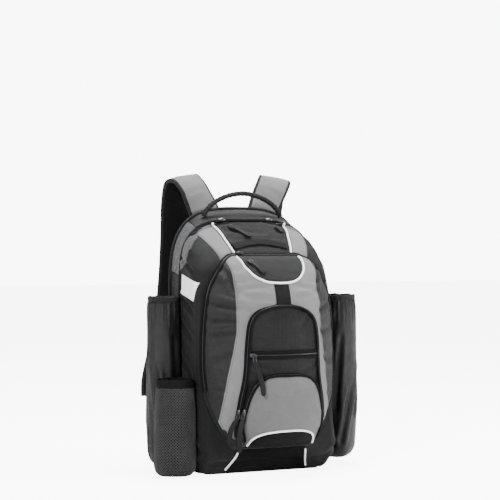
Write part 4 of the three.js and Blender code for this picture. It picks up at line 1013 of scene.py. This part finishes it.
class BAG_OT_front(bpy.types.Operator):
    """Make the main compartment's front, with its grey bands, wedges and white flash"""

    bl_idname = "bat_bag.front"
    bl_label = "Main front"

    def execute(self, context):
        def place(u, v):
            z = between((TRAY_BOTTOM, ZIP_TOP - 0.5), v**0.92)
            half, rounding, face = zip_half(z), tray_round(z), tray_face_y(z)
            from_rim = np.minimum(u, 1 - u)
            wall = fade_in(from_rim, 0, WALL_SHARE)
            bend = fade_in(from_rim, WALL_SHARE, BEND_SHARE) * math.pi / 2
            flat = fade_in(from_rim, WALL_SHARE + BEND_SHARE, 0.5 - WALL_SHARE - BEND_SHARE)
            x = half - rounding * (1 - np.cos(bend))
            x = np.where(flat > 0, (half - rounding) * (1 - flat), x)
            deep = np.minimum(face + rounding * (1 - np.sin(bend)), FLANK_Y)
            flank = between((ZIP_FRONT, np.minimum(face + rounding, FLANK_Y)), wall)
            return np.stack([np.sign(u - 0.5) * x, np.where(wall < 1, flank, deep), z], 1)

        def relief(u, v, at):
            calm = np.clip(np.minimum(u, 1 - u) * 30, 0, 1)
            return calm * tray_relief(*at.T)

        piece = cloth_panel("bag_front", (224, 200), (560, 470), place, relief, (0, 60, 200))
        keep(piece, ["main_front"], "Pocket cloth")
        piece.data.materials.append(look_up("Dark cloth"))
        edge_x, edge_z = zip(*reversed(BASE_PIPING_LINE))
        for polygon in piece.data.polygons:
            x, y, z = polygon.center / MM
            if z < 50 and y < 0 and abs(x) < np.interp(z, edge_z, edge_x):
                polygon.material_index = 1
        self.bands()
        self.side_patches()
        return {"FINISHED"}

    def bands(self):
        for name, side in SIDES:
            def place(u, v, side=side):
                z = between(BAND_CLOTH_Z, v)
                x = np.minimum(between((band_x(z), band_edge(z)), u), zip_half(z) - 0.3)
                return np.stack([side * x, tray_y(x, z) - 0.5, z], 1)

            piece = cloth_panel(f"grey_band_{name}", (24, 70), (34, 115), place,
                                sewn_on(tray_relief, 0.7, 34, 400, 3, 0.6), (0, 60, 300), 1.2)
            keep(piece, [f"top_band_{name}"], "Grey cloth")
            zs = np.linspace(*BAND_TRIM_Z, 26)
            trim_on(tray_y, tray_relief, np.stack([side * (band_x(zs) - 1.9), zs], 1),
                    f"white_piping_{name}", f"top_piping_{name}", round_section(1.9, 12, 1.9))

    def side_patches(self):
        low, height = WEDGE_CLOTH
        for name, side in SIDES:
            def place(u, v, side=side):
                z = low + height * v
                edge = np.interp(z, *zip(*WEDGE_EDGE))
                y = between((WEDGE_REAR, np.minimum(edge, WEDGE_REAR)), u)
                return np.stack([side * (tray_x(y, z) + 0.5), y, z], 1)

            def relief(u, v, at):
                across, up = u * 25, v * height
                crush = 1.1 * ripples(across, up, 13, 12) + 0.8 * ripples(across, up, 7, 14)
                return tray_relief(*at.T) + 1.1 + crush - 0.5 * np.clip(u * 8 - 7, 0, 1)

            piece = cloth_panel(f"grey_wedge_{name}", (16, 44), (26, 75), place, relief,
                                (0, 0, 380), 1)
            keep(piece, [f"side_wedge_{name}"], "Crinkled cloth")

        def flash(u, v):
            corners = np.array(FLASH, float)
            low_edge = between((corners[3], corners[2]), u[:, None])
            high_edge = between((corners[0], corners[1]), u[:, None])
            y, z = between((low_edge, high_edge), v[:, None]).T
            return np.stack([-(tray_x(y, z) + 0.5), y, z], 1)

        piece = cloth_panel("white_flash", (40, 22), (64, 35), flash,
                            sewn_on(tray_relief, 0.6, 64, 35, 1.5, 0.5), (0, 0, 340), 1)
        keep(piece, ["side_flash"], "White trim")
        xs = np.linspace(-56, 56, 40)
        trim_on(tray_y, tray_relief, np.stack([xs, 424 - 8 * (xs / 56) ** 2], 1), "top_web",
                "top_webbing", strip_section(15.5, 1.8), "Webbing")


class BAG_OT_rear(bpy.types.Operator):
    """Make the rear band, its corner patches, the base and the padded back"""

    bl_idname = "bat_bag.rear"
    bl_label = "Rear and base"

    def execute(self, context):
        depths = np.linspace(ZIP_BACK, BACK_Y - BACK_PAD - 0.3, 9)
        shares = np.linspace(0, 1, LOOP_STEPS)
        loops = np.stack([along_path(body_loop(y, 0), shares) for y in depths])
        middle = loops[4]

        def share_at(z, left):
            part = shares > 0.5 if left else shares <= 0.5
            i = np.argmin(np.where(part, np.abs(middle[:, 1] - z), 1e9))
            return shares[i]

        def loop_place(start, end):
            def place(u, v):
                along = between((start, end), u) % 1.0 * (LOOP_STEPS - 1)
                row = v * (len(depths) - 1)
                k = np.minimum(along.astype(int), LOOP_STEPS - 2)
                j = np.minimum(row.astype(int), len(depths) - 2)
                s, t = (along - k)[:, None], (row - j)[:, None]
                near = between((loops[j, k], loops[j, k + 1]), s)
                far = between((loops[j + 1, k], loops[j + 1, k + 1]), s)
                x, z = between((near, far), t).T
                return np.stack([x, between((depths[0], depths[-1]), v), z], 1)
            return place

        right_low, right_high = (share_at(z, False) for z in PATCH_Z)
        left_low, left_high = (share_at(z, True) for z in PATCH_Z)
        parts = [
            ("rear_cloth", "rear_band", left_low, 1 + right_low, (240, 14), 900, "Black cloth"),
            ("rear_crown", "rear_top", right_high, left_high, (90, 14), 240, "Black cloth"),
            ("rear_patch_r", "rear_patch_right", right_low, right_high, (40, 14), 110, None),
            ("rear_patch_l", "rear_patch_left", left_high, left_low, (40, 14), 110, None),
        ]
        for name, node, start, end, grid, length, material in parts:
            def relief(u, v, at, length=length):
                calm = np.clip(np.minimum(v, 1 - v) * 8, 0, 1)
                crush = 1.6 if length < 120 else 0.4
                return calm * (0.8 * ripples(u * length, v * 40, 45, 21)
                               + crush * ripples(u * length, v * 40, 14, 22)) - 0.2

            piece = cloth_panel(name, grid, (length, 40), loop_place(start, end), relief,
                                (0, 40, 240))
            keep(piece, [node],
                 material or "Crinkled cloth")
        self.zip_band()
        self.back()
        self.base()
        return {"FINISHED"}

    def zip_band(self):
        steps = np.arange(LOOP_STEPS)

        def loop_at(y, out, z):
            """The bag's outline at a depth, and its first point at a height."""
            loop = along_path(body_loop(y, out), steps / (LOOP_STEPS - 1))
            return loop, np.argmin(np.where(steps < LOOP_STEPS // 2, np.abs(loop[:, 1] - z), 1e9))

        def ring(points):
            path = np.stack([points[:, 0], np.full(len(points), float(ZIP_Y)), points[:, 1]], 1)
            normals = unit(np.cross(np.gradient(path, axis=0), [0.0, 1.0, 0.0]))
            return path, normals * np.sign((normals * (path - [0, ZIP_Y, 200])).sum())

        loop, first = loop_at(ZIP_Y, 0, ZIP_END_Z)
        last = LOOP_STEPS - 1 - first
        path, normals = ring(smooth_path(loop[first:last + 1], 2.5, passes=2))
        sew_zip("main_zip", ["main_zip_tape", "main_zip_coil"], path, normals, 10.5, 2.2, -1.4)
        low = np.concatenate([loop[last:], loop[1:first + 1]])
        path, normals = ring(smooth_path(low, 4, passes=2))
        join = sweep("side_seam", path, normals, strip_section(8.6, 1.6, -1.5))
        keep(join, ["side_join"], "Black cloth")
        edge_y = BACK_Y - BACK_PAD - 2.4
        edge, start = loop_at(edge_y, 2.2, 22)
        edge = smooth_path(edge[start:LOOP_STEPS - start], 3, passes=2)
        path = np.stack([edge[:, 0], np.full(len(edge), edge_y), edge[:, 1]], 1)
        normals = np.tile([0.0, 1.0, 0.0], (len(path), 1))
        piping = sweep("rear_piping", path, normals, round_section(2.8, 12))
        keep(piping, ["back_piping"], "Zip cloth")

    def back(self):
        def place(u, v):
            z = TRAY_BOTTOM + 0.6 + (BACK_TOP - TRAY_BOTTOM - 1.2) * v
            across = np.sin((u - 0.5) * math.pi)
            x = half_at(z, BACK_TOP, BACK_POWER) * across
            rim = np.minimum(1 - np.abs(across), np.minimum(v, 1 - v) * 3.5)
            y = BACK_Y - BACK_PAD + (BACK_PAD + 1.5) * np.clip(rim * 14, 0, 1) ** 0.5
            return np.stack([x, y, z], 1)

        def relief(u, v, at):
            x, z = np.sin((u - 0.5) * math.pi) * 138, v * 487
            pad = fade_in(-np.abs(x), -118, 14) * fade_in(np.abs(x), 16, 12)
            pad = pad * fade_in(z, 25, 16) * fade_in(-z, -430, 16)
            pad = pad * fade_in(np.abs(z - 235), 0, 14)
            return 3.2 * np.sqrt(pad) + 0.5 * ripples(x, z, 50, 31)

        piece = cloth_panel("back_pad", (150, 240), (276, 487), place, relief, (0, 0, 240), 2)
        keep(piece, ["back_panel"], "Black cloth")

    def base(self):
        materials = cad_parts["base_panel"].data.materials
        materials.clear()
        materials.append(look_up("Base cloth"))


class BAG_OT_front_pocket(bpy.types.Operator):
    """Make the front pocket with its grey face, black crown, strip and white piping"""

    bl_idname = "bat_bag.front_pocket"
    bl_label = "Front pocket"

    def execute(self, context):
        piece = pocket_shell("front_pocket_cloth", FRONT, (190, 210), front_relief)
        keep(piece, ["front_pocket_sides"], "Black cloth")
        self.face()
        self.crown()
        sew_zip("front_zip_line", ["front_zip"], *edge_path(FRONT, 0.985, 0.3), 12.5)
        seams = []
        for side in (-1, 1):
            zs = np.linspace(54, 158, 50)
            xs = side * 0.985 * FRONT.width(zs)
            line = smooth_path(np.stack([xs, FRONT.y(xs, zs), zs], 1), 2.5)
            out = np.tile([side * 0.7, -0.7, 0.0], (len(line), 1))
            seams.append(sweep(f"seam_{side}", line, out, round_section(1.7, 10, 1.2)))
        keep(joined("front_seams", seams), [], "Zip cloth")
        return {"FINISHED"}

    def face(self):
        halves = []
        for side in (-1, 1):
            def place(u, v, side=side):
                z = between(FACE_Z, v)
                inner = np.where(z > STRIP_Z[0] - 1, np.maximum(crown_half(z), STRIP_HALF), 0)
                x = between((inner, face_edge(z)), u)
                return np.stack([side * x, FRONT.y(x, z) - 0.4, z], 1)

            def relief(u, v, at):
                edge = np.minimum(1 - u, np.where(at[:, 2] > STRIP_Z[0] - 1, u, 1)) * 55
                return front_relief(*at.T) + 1 - 0.9 * np.exp(-((edge / 3) ** 2))

            halves.append(cloth_panel(f"face_{side}", (60, 190), (75, 326), place, relief,
                                      (0, 60, 240), 0))
        piece = joined("grey_face", halves)
        add_wall(piece, 1.2)
        keep(piece, ["front_pocket_face"], "Grey cloth")

    def crown(self):
        def place(u, v):
            z = between((CROWN_BOTTOM + 0.4, 400.4), v)
            x = crown_half(z) * (2 * u - 1)
            return np.stack([x, FRONT.y(x, z) - 0.5, z], 1)

        def strip(u, v):
            z = between(STRIP_Z, v)
            x = STRIP_HALF * (2 * u - 1)
            return np.stack([x, FRONT.y(x, z) - 1.4, z], 1)

        piece = cloth_panel("crown_cloth", (70, 34), (120, 60), place,
                            sewn_on(front_relief, 1, 110, 200, 4, 0.8), (0, 60, 300), 1.2)
        keep(piece, ["crown_panel"], "Pocket cloth")
        piece = cloth_panel("strip_web", (16, 26), (29, 50), strip,
                            sewn_on(front_relief, 0.3, 29, 200, 1.5, 0.6), (0, 60, 300), 1.2)
        keep(piece, ["centre_strip"], "Webbing")

        zs = np.concatenate([np.linspace(397, 352, 60), [350.6, 350.1]])
        right = np.stack([crown_half(zs), zs], 1)
        line = smooth_path(np.concatenate([right * [-1, 1], right[::-1]]), 2.5, passes=4)
        trim_on(FRONT.y, front_relief, line, "crown_cord", "crown_piping",
                round_section(1.95, 12, 1.6))


class BAG_OT_middle_pocket(bpy.types.Operator):
    """Make the middle pocket with its outer zip and its flat zip"""

    bl_idname = "bat_bag.middle_pocket"
    bl_label = "Middle pocket"

    def execute(self, context):
        piece = pocket_shell("middle_cloth", MIDDLE, (150, 150), middle_relief)
        keep(piece, ["middle_pocket"], "Pocket cloth")
        sew_zip("middle_zip_line", ["middle_zip"], *edge_path(MIDDLE, 0.97, 0.2), 12)
        xs = np.linspace(-FLAT_ZIP_HALF, FLAT_ZIP_HALF, 60)
        seats = surface_seats(MIDDLE.y, xs, np.full(60, float(FLAT_ZIP_Z)))
        sew_zip("flat_zip_line", ["flat_zip"], *seats, 15, 2.0)
        return {"FINISHED"}


class BAG_OT_lower_pocket(bpy.types.Operator):
    """Make the lower pocket with its grey face darkened as painted shade, dark base, zip and white
    piping
    """

    bl_idname = "bat_bag.lower_pocket"
    bl_label = "Lower pocket"

    def execute(self, context):
        piece = pocket_shell("lower_wall", LOWER, (130, 110), lower_relief)
        keep(piece, [], "Black cloth")
        self.face()
        self.arch()
        sew_zip("lower_zip_line", ["lower_zip"], *edge_path(LOWER, 0.97, 0.1), 10.5)
        return {"FINISHED"}

    def face(self):
        def place(u, v):
            z = between(LOWER_FACE_Z, v)
            x = (2 * u - 1) * LOWER.width(z) * (0.94 - 0.05 * np.clip((v - 0.8) * 5, 0, 1))
            return np.stack([x, LOWER.y(x, z) - 0.5, z], 1)

        piece = cloth_panel("lower_face", (130, 100), (165, 120), place,
                            sewn_on(lower_relief, 1, 160, 116, 4, 0.8), (0, 60, 110), 1.2)
        # Painted shade: the lower face takes the grey cloth darkened to stand in for the weaker
        # light low on the bag
        keep(piece, ["lower_pocket_face"], "Grey cloth in painted shade")

    def arch(self):
        def arch_z(angle):
            return between((LOWER.bottom, ARCH_TOP), np.sin(angle) ** 0.8)

        def place(u, v):
            x = (2 * u - 1) * (ARCH_HALF - 0.2)
            top = arch_z(np.arccos(np.clip(np.abs(x) / ARCH_HALF, 0, 1) ** (1 / 0.6)))
            z = between((LOWER.bottom + 0.4, top), v)
            return np.stack([x, LOWER.y(x, z) - 1.9, z], 1)

        piece = cloth_panel("lower_base", (90, 30), (132, 34), place,
                            sewn_on(lower_relief, 0.8), (0, 60, 90), 1)
        keep(piece, ["lower_pocket_base"], "Dark cloth")
        angle = np.linspace(0.12, math.pi - 0.12, 90)
        xs = ARCH_HALF * signed_power(np.cos(angle), 0.6)
        line = smooth_path(np.stack([xs, arch_z(angle)], 1), 2.2)
        trim_on(LOWER.y, lower_relief, line, "lower_cord", "lower_piping",
                round_section(1.8, 12, 2.4))


class BAG_OT_trims(bpy.types.Operator):
    """Make the base pipings, sliders and zip pulls"""

    bl_idname = "bat_bag.trims"
    bl_label = "Trims and pulls"

    def execute(self, context):
        for name, side in SIDES:
            line = spline([(side * x, z) for x, z in BASE_PIPING_LINE], 24)
            trim_on(tray_y, None, line, f"base_cord_{name}", f"base_piping_{name}",
                    round_section(1.8, 12, 1.9))
        self.pulls()
        for name in (*PULL_SEATS, *PULL_LINES):
            bevelled(f"slider_body_{name}", f"slider_{name}", 0.4, 0.7, 2, "Slider metal")
        return {"FINISHED"}

    def pulls(self):
        lines = {}
        for name, (look, points) in PULL_LINES.items():
            top, normal = slider_top(name)
            spots = [top, top - [0, 0, 7.2], *points]
            line = spline(np.hstack([spots, [normal, normal] + [look] * len(points)]), 28)
            lines[name] = line[:, :3], line[:, 3:], 0.0
        for name, seats in PULL_SEATS.items():
            surface = FRONT.y if name == "front" else tray_y
            line = spline(seats, 24)
            path, normals = surface_seats(surface, line[:, 0], line[:, 1])
            lines[name] = path, normals, 1.6
        for name, (path, normals, lift) in lines.items():
            normals = unit(normals)
            tab = dressed(self.tab(name, path, normals, lift), "Pull rubber")
            link = dressed(self.link(name, path, normals, lift), "Slider metal")
            keep(joined(f"pull_tab_{name}", [tab, link]), [f"pull_{name}"], None)

    def tab(self, name, path, normals, lift):
        count = len(path)

        def taper(k, a, b):
            t = k / (count - 1)
            narrow = 0.45 + 0.55 * np.clip((t - 0.24) * 9, 0, 1)
            ends = np.sqrt(np.clip(1 - np.clip((t - 0.94) / 0.062, 0, 1) ** 2, 0.05, 1))
            waist = 1 - 0.12 * np.exp(-(((t - 0.5) / 0.1) ** 2))
            rib = 0.22 * np.maximum(np.sin(t * 70), 0) * np.clip((t - 0.7) * 9, 0, 1)
            return a * narrow * ends * waist, b + rib * np.sign(b - lift - 1.7)

        return sweep(f"tab_{name}", path, normals, strip_section(9.5, 3.4, lift), taper)

    def link(self, name, path, normals, lift):
        start = path[:max(len(path) // 3, 4)]
        across, rise = frames_on(start, normals[:len(start)])
        turn = np.linspace(0, 2 * math.pi, 25)
        points = along_path(start, 0.5 - 0.5 * np.cos(turn))
        points = points + across[0] * 3.1 * np.sin(turn)[:, None] + rise[0] * (lift + 1.9)
        faces = np.tile(rise[0], (len(points), 1))
        return sweep(f"link_{name}", points, faces, round_section(0.95, 8), caps=False)


class BAG_OT_stitching(bpy.types.Operator):
    """Make the rows of thread along the panels' edges"""

    bl_idname = "bat_bag.stitching"
    bl_label = "Stitching"

    def execute(self, context):
        rows = []
        zs = np.linspace(376, 457, 40)
        outer = np.minimum(band_edge(zs), zip_half(zs)) - 2.6
        face_z = np.linspace(80, 394, 120)
        face_x = face_edge(face_z) - 2.8
        crown_z = np.linspace(396, 357, 40)
        crown_x = crown_half(crown_z) - 4.5
        strip_z = np.linspace(303, 346, 20)
        lower_z = np.linspace(72, 172, 50)
        low_half = LOWER.width(lower_z) * (0.94 - 0.05 * fade_in(lower_z, 158, 23)) - 3
        for side in (-1, 1):
            rows += [(tray_y, tray_relief, side * outer, zs, 1.0),
                     (tray_y, tray_relief, side * (band_x(zs) + 2.4), zs, 1.0),
                     (FRONT.y, front_relief, side * face_x, face_z, 1.4),
                     (FRONT.y, front_relief, side * crown_x, crown_z, 1.6),
                     (FRONT.y, front_relief, side * np.full(20, STRIP_HALF - 2.6), strip_z, 1.9),
                     (LOWER.y, lower_relief, side * low_half, lower_z, 1.5)]
        xs = np.linspace(-66, 66, 60)
        rows += [(MIDDLE.y, middle_relief, xs, np.full(60, FLAT_ZIP_Z + rise), 0.1)
                 for rise in (-10.5, 10.5)]
        low = np.linspace(-crown_x[-1], crown_x[-1], 24)
        rows.append((FRONT.y, front_relief, low, np.full(24, 357.0), 1.6))
        pieces = []
        for number, (surface, relief, x, z, lift) in enumerate(rows):
            path, normals = surface_seats(surface, x, z)
            path = path + normals * (relief(*path.T) + lift)[:, None]
            pieces.append(stitches(f"row_{number}", path, normals))
        keep(joined("panel_stitching", pieces), [], "Thread")
        return {"FINISHED"}


class BAG_OT_sleeves(bpy.types.Operator):
    """Make the two bat sleeves, with gathers under their hems"""

    bl_idname = "bat_bag.sleeves"
    bl_label = "Bat sleeves"

    def execute(self, context):
        self.sleeve("left", LEFT_SLEEVE, 150, 91)
        self.sleeve("right", RIGHT_SLEEVE, 190, 95)
        return {"FINISHED"}

    def sleeve(self, name, sleeve, count, seed):
        low, high = SLEEVE_Z
        girth = math.pi * (sleeve["reach"] / 2 + sleeve["half_depth"])
        rim = high - 11
        lines = [(a0 * girth, b0, a1 * girth, b1, *depth)
                 for a0, b0, a1, b1, *depth in SLEEVE_FOLDS]

        def relief(u, v, at):
            a, z = u * girth, low + (rim - low) * v
            near = fade_in(v, 0.84, 0.16)
            gathers = near * (np.sin(a * 2 * math.pi / 11 + 1.2 * np.sin(a / 17))
                              + 0.5 * np.sin(a * 2 * math.pi / 6.3 + 2))
            drapes = (1 - 0.5 * near) * (1.7 * ripples(a * 1.2, z * 0.45, 60, seed)
                                         + 0.4 * ripples(a * 1.3, z * 0.7, 26, seed + 1))
            creases = sum(crease(a, z, line) for line in lines)
            return fade_in(z, low, 20) * (gathers + 0.8 * drapes + 1.3 * creases)

        place = sack_place(sleeve, low, rim, SLEEVE_ROWS, 0)
        piece = cloth_panel(f"sleeve_{name}", (count, 190), (girth, rim - low), place, relief,
                            sack_centre(sleeve, 160), 1.2, wrap=True)
        keep(piece, [f"bat_sleeve_{name}"], "Sleeve cloth")
        hem_hoop(sleeve, SLEEVE_ROWS[-1][1], rim, high, f"sleeve_rim_{name}",
                 f"sleeve_hem_{name}", count)


class BAG_OT_bottle_pocket(bpy.types.Operator):
    """Make the bottle pocket: a knitted net bag with a thin lining and a cloth band"""

    bl_idname = "bat_bag.bottle_pocket"
    bl_label = "Bottle pocket"

    def execute(self, context):
        low, high = BOTTLE_Z
        rim = high - 16
        size = (240, 160)
        mesh, u, v = unit_grid(NET_CELLS, NET_ROWS)
        mesh.name = "bottle_net"
        points = sack_place(BOTTLE, low + 0.8, rim, BOTTLE_ROWS, 0.8)(u % 1.0, v)
        swell = 0.5 * ripples(u * size[0], v * size[1], 40, 101) * np.clip(v * 6, 0, 1)
        set_points(mesh, points + sack_out(BOTTLE, points) * swell[:, None])
        scale_uv(mesh, *size)
        weld(mesh, 0.02, self.knit)
        keep(new_piece("bottle_net", mesh), ["bottle_pocket"], "Net yarn")
        cup = sack_place(BOTTLE, low + 3.2, rim + 4, BOTTLE_ROWS, 2.8)
        lining = cloth_panel("bottle_lining", (100, 90), size, cup, None,
                             sack_centre(BOTTLE, 60), 0.8, wrap=True)
        keep(lining, [], "Dark cloth")
        hem_hoop(BOTTLE, BOTTLE_ROWS[-1][1], rim, high, "bottle_rim", "bottle_band", 110,
                 "Dark cloth")
        return {"FINISHED"}

    @staticmethod
    def knit(bm):
        """Turns square cells into a net of diamonds."""
        sides = [edge for edge in bm.edges if len(edge.link_faces) == 2]
        bmesh.ops.poke(bm, faces=bm.faces, offset=0, center_mode="MEAN", use_relative_offset=False)
        bmesh.ops.dissolve_edges(bm, edges=sides, use_verts=False, use_face_split=False)
        bmesh.ops.recalc_face_normals(bm, faces=bm.faces)
        bmesh.ops.wireframe(bm, faces=bm.faces, thickness=NET_YARN * MM, offset=0, use_replace=True,
                            use_boundary=True, use_even_offset=False, use_crease=False,
                            crease_weight=0, use_relative_offset=False, material_offset=0)


class BAG_OT_straps(bpy.types.Operator):
    """Make the padded shoulder straps, their bindings, webbing and buckles"""

    bl_idname = "bat_bag.straps"
    bl_label = "Shoulder straps"

    def execute(self, context):
        for name, side in SIDES:
            path, normals = self.line(STRAP_LINE, side, 150)
            if normals[len(normals) // 2][1] < 0:
                normals = -normals
            self.pad(name, path, normals)
            self.binding(name, path, normals)
            web, flat = self.line(WEBBING_LINE, side, 40)
            strip = sweep(f"strap_web_{name}", web, flat, strip_section(25, 1.6, -0.8))
            keep(strip, [f"webbing_{name}"], "Webbing")
            bevelled(f"ladder_{name}", f"buckle_{name}", 0.5, 0.9, 3, "Black plastic")
        return {"FINISHED"}

    def line(self, rows, side, count):
        curve = spline([(side * x, y, z, side * 1.0, lean, drop) for x, y, z, lean, drop in rows],
                       count)
        path, across = curve[:, :3], curve[:, 3:] * side
        return path, unit(np.cross(across, np.gradient(path, axis=0)))

    def pad(self, name, path, normals):
        turn = np.linspace(0, 2 * math.pi, 40, endpoint=False)
        section = np.stack([PAD_HALF * signed_power(np.cos(turn), 0.5),
                            PAD_RISE * signed_power(np.sin(turn), 0.7)], 1)
        count = len(path)

        def puff(k, a, b):
            z = k * 6.0
            crown = 1.1 * (1 - (a / STRAP_HALF) ** 2) * np.sign(b)
            wrinkle = 0.7 * ripples(a, z, 34, 111) + 0.4 * ripples(a * 0.6, z * 1.6, 22, 113)
            ends = np.clip(np.minimum(k, count - 1 - k) / 3, 0.4, 1)
            middle = np.clip(1 - np.abs(a) / STRAP_HALF, 0, 1)
            return a, (b + crown + wrinkle * middle * 1.3) * ends

        pad = sweep(f"strap_pad_{name}", path, normals, section, puff)
        keep(pad, [f"strap_{name}"], "Grey cloth")
        pad.data.materials.append(look_up("Dark cloth"))
        rise = frames_on(path, normals)[1]
        for polygon in pad.data.polygons:
            centre = np.array(polygon.center) / MM
            nearest = np.argmin(((path - centre) ** 2).sum(1))
            under = (centre - path[nearest]) @ rise[nearest] < -0.6
            polygon.material_index = 1 if under else 0

    def binding(self, name, path, normals):
        edges = []
        for end in (-1, 1):
            section = [(end * a, b) for a, b in BINDING][::end]
            edges.append(dressed(sweep(f"edge_{end}", path, normals, section), "Zip cloth"))
        keep(joined(f"strap_binding_{name}", edges), [], None)


class BAG_OT_handle(bpy.types.Operator):
    """Make the rolled grab handle"""

    bl_idname = "bat_bag.handle"
    bl_label = "Grab handle"

    def execute(self, context):
        right = [(x, HANDLE_Y, z) for x, z in HANDLE_LINE]
        points = [(-x, y, z) for x, y, z in right[:-1]] + right[::-1]
        path = spline(points, 170)
        normals = np.tile([0.0, -1.0, 0.0], (len(path), 1))

        def wrinkle(k, a, b):
            angle = np.arctan2(b, a)
            ridge = 0.28 * np.sin(k * 0.9 + angle) + 0.16 * np.sin(k * 0.53 + 2 * angle)
            seam = 0.35 * np.exp(-((np.cos(angle - 1.2) - 1) / 0.02) ** 2)
            size = 1 + (ridge + seam) / HANDLE_RADIUS
            return a * size, b * size

        roll = sweep("handle_roll", path, normals, round_section(HANDLE_RADIUS, 20), wrinkle)
        keep(roll, ["grab_handle"], "Pocket cloth")
        return {"FINISHED"}


class BAG_OT_stage(bpy.types.Operator):
    """Make the floor, the backdrop, the lights and the camera"""

    bl_idname = "bat_bag.stage"
    bl_label = "Studio"

    def execute(self, context):
        scene, s = context.scene, settings()
        mesh = bpy.data.meshes.new("floor")
        bm = bmesh.new()
        bmesh.ops.create_grid(bm, x_segments=2, y_segments=2, size=12)
        bm.to_mesh(mesh)
        bm.free()
        floor = new_piece("floor", mesh)
        material, nodes, links, shader = material_nodes("Pale floor")
        shader.inputs["Base Color"].default_value = (0.9, 0.9, 0.9, 1)
        shader.inputs["Roughness"].default_value = 0.95
        shader.inputs["Specular IOR Level"].default_value = 0
        shader.inputs["Emission Color"].default_value = (1, 1, 1, 1)
        glow = nodes.new("ShaderNodeLightPath")
        links.new(math_node(nodes, links, "MULTIPLY", glow.outputs["Is Camera Ray"], s.floor_glow),
                  shader.inputs["Emission Strength"])
        floor.data.materials.append(material)
        world = bpy.data.worlds.new("Studio")
        world.use_nodes = True
        nodes, links = world.node_tree.nodes, world.node_tree.links
        soft, seen = nodes["Background"], nodes.new("ShaderNodeBackground")
        soft.inputs[1].default_value = s.ambient
        soft.inputs[0].default_value = seen.inputs[0].default_value = (1, 1, 1, 1)
        seen.inputs[1].default_value = s.backdrop
        rays, mixed = nodes.new("ShaderNodeLightPath"), nodes.new("ShaderNodeMixShader")
        links.new(rays.outputs["Is Camera Ray"], mixed.inputs[0])
        links.new(soft.outputs[0], mixed.inputs[1])
        links.new(seen.outputs[0], mixed.inputs[2])
        links.new(mixed.outputs[0], nodes["World Output"].inputs[0])
        scene.world = world
        for name, place, size, power in LIGHTS:
            data = bpy.data.lights.new(name, "AREA")
            data.energy = power
            data.size = size
            lamp = new_piece(name, data)
            lamp.location = place
            aim = Vector(AIM) - Vector(place)
            lamp.rotation_euler = aim.to_track_quat("-Z", "Y").to_euler()
        self.camera(scene)
        return {"FINISHED"}

    def camera(self, scene):
        s = settings()
        data = bpy.data.cameras.new("camera")
        data.sensor_width = 36
        data.lens = s.lens
        data.shift_y = CAMERA_SHIFT
        data.clip_end = 60
        camera = new_piece("camera", data)
        turn = s.azimuth
        camera.location = (math.sin(turn) * s.distance, -math.cos(turn) * s.distance, s.height)
        camera.rotation_euler = (math.pi / 2, 0, turn)
        scene.camera = camera


def colour(label, default):
    return bpy.props.FloatVectorProperty(
        name=label, description=f"Base colour of the {label.lower()}", subtype="COLOR", size=3,
        min=0, max=1, default=default)


def number(label, description, default, **more):
    return bpy.props.FloatProperty(name=label, description=description, default=default, **more)


class BatBackpackSettings(bpy.types.PropertyGroup):
    """Colours and viewpoint that a user may change"""

    black_cloth: colour("Black cloth", (0.0055, 0.0055, 0.0058))
    dark_cloth: colour("Dark cloth", (0.0035, 0.0035, 0.0038))
    zip_cloth: colour("Zip cloth", (0.006, 0.006, 0.0065))
    sleeve_cloth: colour("Sleeve cloth", (0.0045, 0.0045, 0.0047))
    base_cloth: colour("Base cloth", (0.0035, 0.0035, 0.0035))
    grey_cloth: colour("Grey cloth", (0.15, 0.15, 0.152))
    crinkled_cloth: colour("Crinkled cloth", (0.045, 0.045, 0.047))
    white_trim: colour("White trim", (0.92, 0.92, 0.91))
    net_yarn: colour("Net yarn", (0.038, 0.038, 0.039))
    plastic: colour("Plastic", (0.008, 0.008, 0.0085))
    rubber: colour("Pull rubber", (0.007, 0.007, 0.0075))
    ambient: number("Ambient", "Strength of the soft light", 0.4, min=0)
    backdrop: number("Backdrop", "Brightness behind the bag", 9, min=0)
    floor_glow: number("Floor glow", "Brightness of the floor in view", 7, min=0)
    lens: number("Lens", "Focal length of the camera in mm", 124.3, min=10, max=400)
    azimuth: number("Azimuth", "Turn of the camera to the left", math.radians(-26),
                    subtype="ANGLE")
    distance: number("Distance", "Camera's distance", 3.257, subtype="DISTANCE", unit="LENGTH")
    height: number("Height", "Camera's height", 0.433, subtype="DISTANCE", unit="LENGTH")


OPERATORS = (BAG_OT_materials, BAG_OT_front, BAG_OT_rear, BAG_OT_front_pocket,
             BAG_OT_middle_pocket, BAG_OT_lower_pocket, BAG_OT_trims, BAG_OT_stitching,
             BAG_OT_sleeves, BAG_OT_bottle_pocket, BAG_OT_straps, BAG_OT_handle, BAG_OT_stage)


class BAG_PT_panel(bpy.types.Panel):
    """Lists the bag's builders in the sidebar"""

    bl_idname = "BAG_PT_panel"
    bl_label = "Bat Backpack"
    bl_space_type = "VIEW_3D"
    bl_region_type = "UI"
    bl_category = "Bat Backpack"

    def draw(self, context):
        for name in BatBackpackSettings.__annotations__:
            self.layout.prop(context.scene.bat_backpack, name)
        for operator in OPERATORS:
            self.layout.operator(operator.bl_idname)


CLASSES = (BatBackpackSettings, *OPERATORS, BAG_PT_panel)


def register():
    for cls in CLASSES:
        bpy.utils.register_class(cls)
    bpy.types.Scene.bat_backpack = bpy.props.PointerProperty(type=BatBackpackSettings)


def unregister():
    del bpy.types.Scene.bat_backpack
    for cls in reversed(CLASSES):
        bpy.utils.unregister_class(cls)


def main():
    register()
    for operator in OPERATORS:
        group, name = operator.bl_idname.split(".")
        getattr(getattr(bpy.ops, group), name)()


if __name__ == "__main__":
    main()
